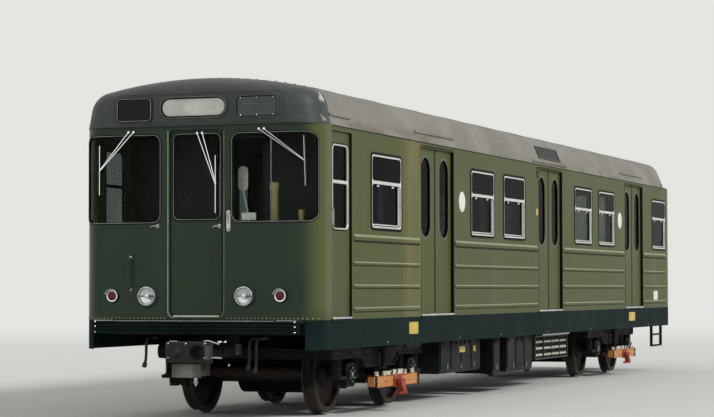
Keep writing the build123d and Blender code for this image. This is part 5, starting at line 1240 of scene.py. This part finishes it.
def make_equipment_trim():
    """Hinges and latches on the equipment cases, and the bars, rods and spools of the resistors."""
    hinges, latches, bar, spools = shapes(4)
    for rear, front, y, low, high, sides in CASES:
        lids = max(1, round((front - rear) / LID_LENGTH))
        foot, top = height(low), height(high)
        for side in sides:
            face = side * (y + 0.002)
            for k in range(lids):
                a = rear + (front - rear) * k / lids + 0.05
                b = rear + (front - rear) * (k + 1) / lids - 0.05
                for x in (a + 0.05, b - 0.05):
                    hinges.block(about(x, 0.022), (face - side * 0.004, face + side * 0.008),
                                 (top - 0.075, top - 0.02))
                    hinges.tube([(x + dx, face + side * 0.007, top - 0.048) for dx in (-0.026, 0.026)],
                                0.007, 8)
                middle = (a + b) / 2
                latches.block(about(middle, 0.016), (face - side * 0.002, face + side * 0.007),
                              (foot + 0.05, foot + 0.12), 0.002)
                latches.tube([(middle, face + side * 0.006, foot + 0.07),
                              (middle + 0.002, face + side * 0.008, foot + 0.115)], 0.004, 6)
    for side, _ in SIDES:
        bar.block((station(9.24), station(10.70)), (side * 1.262, side * 1.278), heights(0.722, 0.752),
                  0.004)
        for s in (9.3, 9.97, 10.64):
            bar.block(about(station(s), 0.015), (side * 1.20, side * 1.265), heights(0.728, 0.746), 0.002)
        for z in (0.470, 0.565, 0.660):
            bar.tube([(x, side * 1.224, z) for x in (-2.185, -1.20, -0.435)], 0.006, 8)
            for x in evenly(-2.10, -0.52, 0.132):
                spools.turned(SPOOL, (x, side * 1.224, z), FORWARD, 12)
    hinges.make("case_hinges", UNDERFRAME)
    latches.make("case_latches", BOLT_STEEL)
    bar.make("resistor_guard_bars", WHITE_METAL)
    spools.make("resistor_insulators", PORCELAIN)


# An end air pipe, as (out from its root, Z), ending at its own drop, and its cock's lever beside it
PIPE_ROOT_X = 8.40
PIPE_TOP = ((-0.25, 0.90), (-0.06, 0.90), (0, 0.885), (0.03, 0.84))
PIPE_FOOT = ((0.035, 0.12), (0.045, 0.05), (0.07, 0))
COCK_LEVER = ((0.035, 0, 0.80), (0.075, 0.004, 0.803), (0.095, 0.03, 0.795))


def make_underframe_pipes():
    """Air pipes along the underframe with their hangers, and pipes and cocks at the ends."""
    pipes, ends = shapes(2)
    for side, _ in SIDES:
        for y, z, radius in ((0.36, 0.80, 0.017), (0.30, 0.765, 0.012)):
            pipes.tube([(x, side * y, z) for x in (-3.9, -2.0, 0, 2.0, 3.9)], radius, 10)
            for x in (-3.6, -2.4, -1.2, 0, 1.2, 2.4, 3.6):
                pipes.block(about(x, 0.015), about(side * y, 0.024), (z - 0.024, 0.93))
    for end, _ in ENDS:
        root = end * PIPE_ROOT_X
        for y, drop in ((0.60, 0.60), (0.68, 0.57), (-0.62, 0.62)):
            fall = PIPE_TOP + tuple((out, drop + rise) for out, rise in PIPE_FOOT)
            ends.tube([(root + end * out, y, z) for out, z in fall], 0.016, 10)
            ends.turned([(-0.02, 0.020), (0.0, 0.026), (0.03, 0.026), (0.036, 0.020), (0.040, 0.008)],
                        (root + end * 0.068, y, drop), (end * 0.5, 0, -0.8), 14)
            ends.tube([(root + end * out, y + aside, z) for out, aside, z in COCK_LEVER], 0.006, 8)
    pipes.make("underframe_pipes", UNDERFRAME)
    ends.make("end_air_pipes", COUPLER_STEEL)


# Interior

# Benches: station of each back, with the way that it faces, and their span in Y on the left
BENCHES = ((1.300, -1), (2.600, 1), (5.3015, -1), (6.6015, 1), (6.6815, -1), (7.9815, 1), (10.4885, -1),
           (11.7885, 1), (11.8685, -1), (13.1685, 1), (15.580, -1), (16.880, 1))
BENCH_Y = (0.41, 1.29)


def pad(shape, middle, size, crown, pull, across, along, up, grooves=()):
    """A crowned closed cushion, flat underneath and sewn across at grooves; returns the line of its seam."""
    half_a, half_b, thick = size[0] / 2, size[1] / 2, size[2]
    middle, across, along, up = Vector(middle), Vector(across), Vector(along), Vector(up)
    columns = {-1, -0.97, -0.88, -0.7, -0.45, -0.2, 0, 0.2, 0.45, 0.7, 0.88, 0.97, 1}
    marks = sorted(columns | {round(g + d, 4) for g in grooves for d in (-0.02, 0, 0.02)})
    rows = [-1, -0.95, -0.82, -0.6, -0.3, 0, 0.3, 0.6, 0.82, 0.95, 1]

    def plan(u, v, grow=0.0):
        soft = 1 - 0.055 * (abs(u) * abs(v)) ** 6
        a = (half_a + grow) * u * (1 - pull * (1 - v * v)) * soft
        b = (half_b + grow) * v * (1 - pull * (1 - u * u)) * soft
        return a, b

    def place(a, b, z):
        return middle + across * a + along * b + up * z

    points = []
    for v in rows:
        for u in marks:
            a, b = plan(u, v)
            z = thick + crown * (1 - u ** 4) * (1 - v ** 4) - 0.014 * max(abs(u), abs(v)) ** 14
            z -= sum(0.007 for g in grooves if abs(u - g) < 0.001)
            points.append(place(a, b, z))
    wide, deep = len(marks), len(rows)
    faces = [(r * wide + c, r * wide + c + 1, (r + 1) * wide + c + 1, (r + 1) * wide + c)
             for r in range(deep - 1) for c in range(wide - 1)]
    rim = [(c, 0) for c in range(wide)] + [(wide - 1, r) for r in range(1, deep)]
    rim += [(c, deep - 1) for c in range(wide - 2, -1, -1)] + [(0, r) for r in range(deep - 2, 0, -1)]
    last = [r * wide + c for c, r in rim]
    for grow, share in ((0.005, 0.86), (0.009, 0.6), (0.008, 0.3), (0.0, 0.05), (-0.006, 0.0)):
        ring = []
        for c, r in rim:
            a, b = plan(marks[c], rows[r], grow)
            ring.append(len(points))
            points.append(place(a, b, thick * share))
        count = len(rim)
        faces += [(ring[k], ring[(k + 1) % count], last[(k + 1) % count], last[k]) for k in range(count)]
        last = ring
    faces.append(tuple(reversed(last)))
    shape.add(points, faces)
    return [place(*plan(marks[c], rows[r], 0.003), thick * 0.93) for c, r in rim]


def make_pad(name, piping, radius, *form):
    """One pad of a seat, with piping of a radius round its seam."""
    shape = Shape()
    piping.tube(pad(shape, *form), radius, 6, closed=True)
    piece = shape.make(name, SEAT_COVER, smooth=60)


def make_seats():
    """Benches in pairs along the saloon and the driver's flap seat: crowned pads on frames."""
    frames, piping = shapes(2)
    channels = (-0.5, 0.0, 0.5)
    for number, (s, way) in enumerate(BENCHES, 1):
        for side, side_name in SIDES:
            x, y = station(s), side * sum(BENCH_Y) / 2
            name = f"{side_name}_bench_{number}"
            make_pad(f"{name}_cushion", piping, 0.0035, (x + way * 0.275, y, 1.462), (0.86, 0.375, 0.080),
                     0.018, 0.012, (0, 1, 0), (-1, 0, 0), UP, channels)
            make_pad(f"{name}_back_pad", piping, 0.0030, (x + way * 0.028, y, 1.815), (0.86, 0.505, 0.022),
                     0.012, 0.010, (0, way, 0), UP, (way, 0, 0), channels)
            y0, y1 = side * BENCH_Y[0], side * BENCH_Y[1]
            frames.block((x + way * 0.050, x + way * 0.462), (y0 + side * 0.012, y1 - side * 0.012),
                         (1.448, 1.462), 0.004)
            frames.block((x + way * 0.003, x + way * 0.028), (y0 + side * 0.010, y1 - side * 0.010),
                         (1.448, 2.085), 0.008)
            frames.block((x + way * 0.150, x + way * 0.345), (y0 + side * 0.10, y1 - side * 0.12),
                         (1.120, 1.449), 0.006)
            rail = ((0, 1.90), (0, 2.05), (0.012, 2.080), (0.050, 2.088), (0.20, 2.088))
            frames.tube([(x + way * 0.014, y0 + side * (0.022 + inward), z) for inward, z in rail], 0.010, 10)
    make_pad("driver_seat_cushion", piping, 0.003, (7.50, -0.55, 1.640), (0.325, 0.385, 0.062), 0.016, 0.012,
             (0, 1, 0), (-1, 0, 0), UP)
    make_pad("driver_seat_back_pad", piping, 0.003, (7.312, -0.55, 1.92), (0.325, 0.33, 0.052), 0.012, 0.012,
             (0, 1, 0), UP, FORWARD)
    frames.block((7.302, 7.70), (-0.715, -0.385), (1.620, 1.641), 0.005)
    frames.block((7.300, 7.314), (-0.715, -0.385), (1.735, 2.095), 0.004)
    frames = frames.make("seat_frames", BENCH_FRAME)
    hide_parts("seats")
    piping.make("seat_piping", PIPING, smooth=60)


# Collars of the poles, from a doorway's middle; handrails, with their hangers as (Y, Z); ceiling lamps
POLE_REACH, POLE_Y = 0.76, 0.45
RAIL_Y, RAIL_Z = 0.62, 3.02
HANGER = ((RAIL_Y, RAIL_Z), (RAIL_Y, 3.12), (RAIL_Y + 0.01, 3.20), (RAIL_Y + 0.02, 3.40))
LAMP_Y = 0.34


def make_saloon():
    """Lamps and handrails under the ceiling, and collars at the feet of the poles."""
    rails, diffusers, housings, collars = shapes(4)
    for side, _ in SIDES:
        rails.tube([(x, side * RAIL_Y, RAIL_Z) for x in evenly(-8.0, 6.9, 1.49)], 0.014, 12)
        for x in evenly(-7.9, 6.8, 1.47):
            rails.tube([(x, side * y, z) for y, z in HANGER], 0.009, 8)
        for x in evenly(-7.3, 6.2, 1.5):
            housings.block(about(x, 0.63), about(side * LAMP_Y, 0.07), (3.462, 3.500), 0.008)
            diffusers.block(about(x, 0.61), about(side * LAMP_Y, 0.055), (3.440, 3.464), 0.010)
    for doorway in DOORWAYS:
        for way in (1, -1):
            for side, _ in SIDES:
                collars.turned([(0.0, 0.036), (0.008, 0.036), (0.016, 0.026), (0.040, 0.0185)],
                               (doorway + way * POLE_REACH, side * POLE_Y, FLOOR_TOP), UP, 18)
    rails.make("ceiling_handrails", POLISHED)
    housings.make("saloon_lamp_housings", WHITE_METAL, slot="interior_panel")
    diffusers.make("saloon_lamp_diffusers", DIFFUSER)
    collars.make("pole_collars", POLISHED)


# Places of the cab's fittings, and the way that the gauges face
GAUGES = [(8.205, y, 2.118) for y in (-1.02, -0.90, -0.78)]
GAUGE_FACING = (-0.35, 0, 0.94)
CONTROLLER, KNOB = (8.22, -0.56, 2.116), (8.12, -0.52, 2.182)
TALL_POST, SHORT_POST = (8.06, 0.735, FLOOR_TOP), (8.06, 1.05, FLOOR_TOP)
MIRROR_ARM = ((8.305, 0.470, 2.50), (8.295, 0.475, 2.45), (8.27, 0.50, 2.30), (8.27, 0.53, 2.13),
              (8.27, 0.53, 1.98), (8.27, 0.53, 1.60), (8.27, 0.53, FLOOR_TOP))

# Their turned parts, as (along, radius)
GAUGE = [(0.0, 0.045), (0.006, 0.045), (0.010, 0.0414), (0.0105, 0.018)]
CONTROLLER_DRUM = [(0.0, 0.055), (0.020, 0.055), (0.030, 0.045), (0.034, 0.020), (0.060, 0.016), (0.064, 0.006)]
KNOB_FORM = [(-0.02, 0.006), (0.0, 0.014), (0.016, 0.016), (0.028, 0.010), (0.032, 0.003)]
TALL_FORM = [(0.0, 0.056), (0.02, 0.056), (0.03, 0.044), (1.37, 0.044), (1.39, 0.052), (1.45, 0.052),
             (1.465, 0.044), (1.468, 0.02)]
SHORT_FORM = [(0.0, 0.045), (0.02, 0.045), (0.03, 0.030), (1.10, 0.030), (1.12, 0.038), (1.16, 0.034),
              (1.17, 0.012)]


def make_cab_fittings():
    """Controller, gauges, two cream posts, a mirror and a rod, seen through the windscreens."""
    metal, cream, dials, mirror = shapes(4)
    for place in GAUGES:
        dials.turned(GAUGE, place, GAUGE_FACING, 24)
    metal.turned(CONTROLLER_DRUM, CONTROLLER, UP, 24)
    metal.tube([(8.22, -0.56, 2.172), (8.19, -0.55, 2.180), KNOB], 0.009, 10)
    metal.turned(KNOB_FORM, KNOB, UP, 14)
    cream.turned(TALL_FORM, TALL_POST, UP, 24)
    cream.turned(SHORT_FORM, SHORT_POST, UP, 20)
    mirror.slab(end_loop(1, 0.470, 2.485, 0.115, 0.270, 0.055, 8.300), FORWARD, 0.012, 0.003)
    mirror.tube(MIRROR_ARM, 0.009, 10)
    metal.tube([(8.36, 0.82, z) for z in (3.12, 2.9, 2.5, 2.10)], 0.008, 8)
    metal.make("cab_controls", POLISHED)
    cream.make("cab_heater_post", CREAM)
    dials.make("desk_gauges", DISPLAY)
    mirror.make("cab_mirror", WHITE_METAL)


make_screen_trim()
make_lamps()
make_displays()
make_dome_trim()
make_end_rivets()
make_end_door_trim()
make_front_fittings()
make_beam_trim()
make_leaf_trim()
make_doorway_trim()
make_cab_door_trim()
make_pane_rubbers()
make_side_fittings()
make_roof_seams()
make_bogie_trim()
make_coupler_trim()
make_equipment_trim()
make_underframe_pipes()
make_seats()
make_saloon()
make_cab_fittings()


# Stage: pale floor and backdrop, plain soft light, and the photograph's camera

BACKDROP_COLOUR = srgb(229, 229, 226)
FILL_STRENGTH = 0.55
FLOOR_REACH, FADE_FROM, FADE_TO = 400.0, 14.0, 60.0


def make_floor():
    """A pale floor that fades to the white of the backdrop far from the car."""
    r = FLOOR_REACH
    mesh = bpy.data.meshes.new("floor_sheet")
    mesh.from_pydata([(-r, -r, 0), (r, -r, 0), (r, r, 0), (-r, r, 0)], [], [(0, 1, 2, 3)])
    floor = bpy.data.objects.new("studio_floor", mesh)
    bpy.context.scene.collection.objects.link(floor)
    look = Look("studio_floor", Roughness=0.9, Specular_IOR_Level=0.1)
    look.colour(BACKDROP_COLOUR)
    length = look.node("VectorMath", {0: look.coordinates}, operation="LENGTH").outputs["Value"]
    seen = look.node("LightPath", {}).outputs["Is Camera Ray"]
    share = look.times(look.span(length, FADE_FROM, FADE_TO), seen)
    glow = look.node("Emission", {"Color": BACKDROP_COLOUR}).outputs["Emission"]
    blend = look.node("MixShader", {"Fac": share, 1: look.shader.outputs["BSDF"], 2: glow})
    look.feed(look.nodes["Material Output"].inputs["Surface"], blend.outputs["Shader"])
    mesh.materials.append(look.material)


def make_world():
    """The backdrop as the camera, metal and glass see it, and a plain fill for the rest."""
    world = bpy.data.worlds.new("studio")
    bpy.context.scene.world = world
    world.use_nodes = True
    tree = NodeTree(world.node_tree)
    path = tree.node("LightPath", {})
    seen = path.outputs["Is Camera Ray"]
    for ray in ("Is Glossy Ray", "Is Transmission Ray"):
        seen = tree.maths("MAXIMUM", seen, path.outputs[ray])
    strength = tree.node("MapRange", {"Value": seen, "To Min": FILL_STRENGTH, "To Max": 1.0})
    background = tree.nodes["Background"]
    tree.feed(background.inputs["Color"], BACKDROP_COLOUR)
    tree.feed(background.inputs["Strength"], strength.outputs["Result"])


# Name, direction that the light comes from, strength and angular size in degrees
SUNS = (("key", (0.12, 0.85, 0.62), 1.75, 14), ("front_fill", (0.9, -0.25, 0.5), 0.35, 60))


def make_sun(name, towards, strength, spread):
    """A soft sun whose light comes from the given direction."""
    lamp = bpy.data.lights.new(name, "SUN")
    lamp.energy = strength
    lamp.angle = radians(spread)
    sun = bpy.data.objects.new(name, lamp)
    sun.rotation_mode = "QUATERNION"
    sun.rotation_quaternion = Vector(towards).to_track_quat("Z", "Y")
    bpy.context.scene.collection.objects.link(sun)


def make_camera():
    """The photograph's camera, worked out from the car's straight lines."""
    yaw, pitch, roll = 0.35698, 0.03648, 0.00183
    camera = bpy.data.objects.new("camera", bpy.data.cameras.new("camera"))
    camera.data.sensor_width = 36.0
    camera.data.lens = 111.14
    camera.data.clip_start, camera.data.clip_end = 0.5, 900.0
    camera.location = (X_FRONT + 21.616, 9.914, height(1.401))
    forward = Vector((-cos(yaw) * cos(pitch), -sin(yaw) * cos(pitch), sin(pitch)))
    upright = forward.to_track_quat("-Z", "Y")
    camera.rotation_mode = "QUATERNION"
    camera.rotation_quaternion = upright @ Matrix.Rotation(-roll, 3, "Z").to_quaternion()
    bpy.context.scene.collection.objects.link(camera)
    bpy.context.scene.camera = camera


make_floor()
make_world()
for sun in SUNS:
    make_sun(*sun)
make_camera()
bpy.context.scene.view_settings.view_transform = "Standard"

bpy.context.view_layer.update()
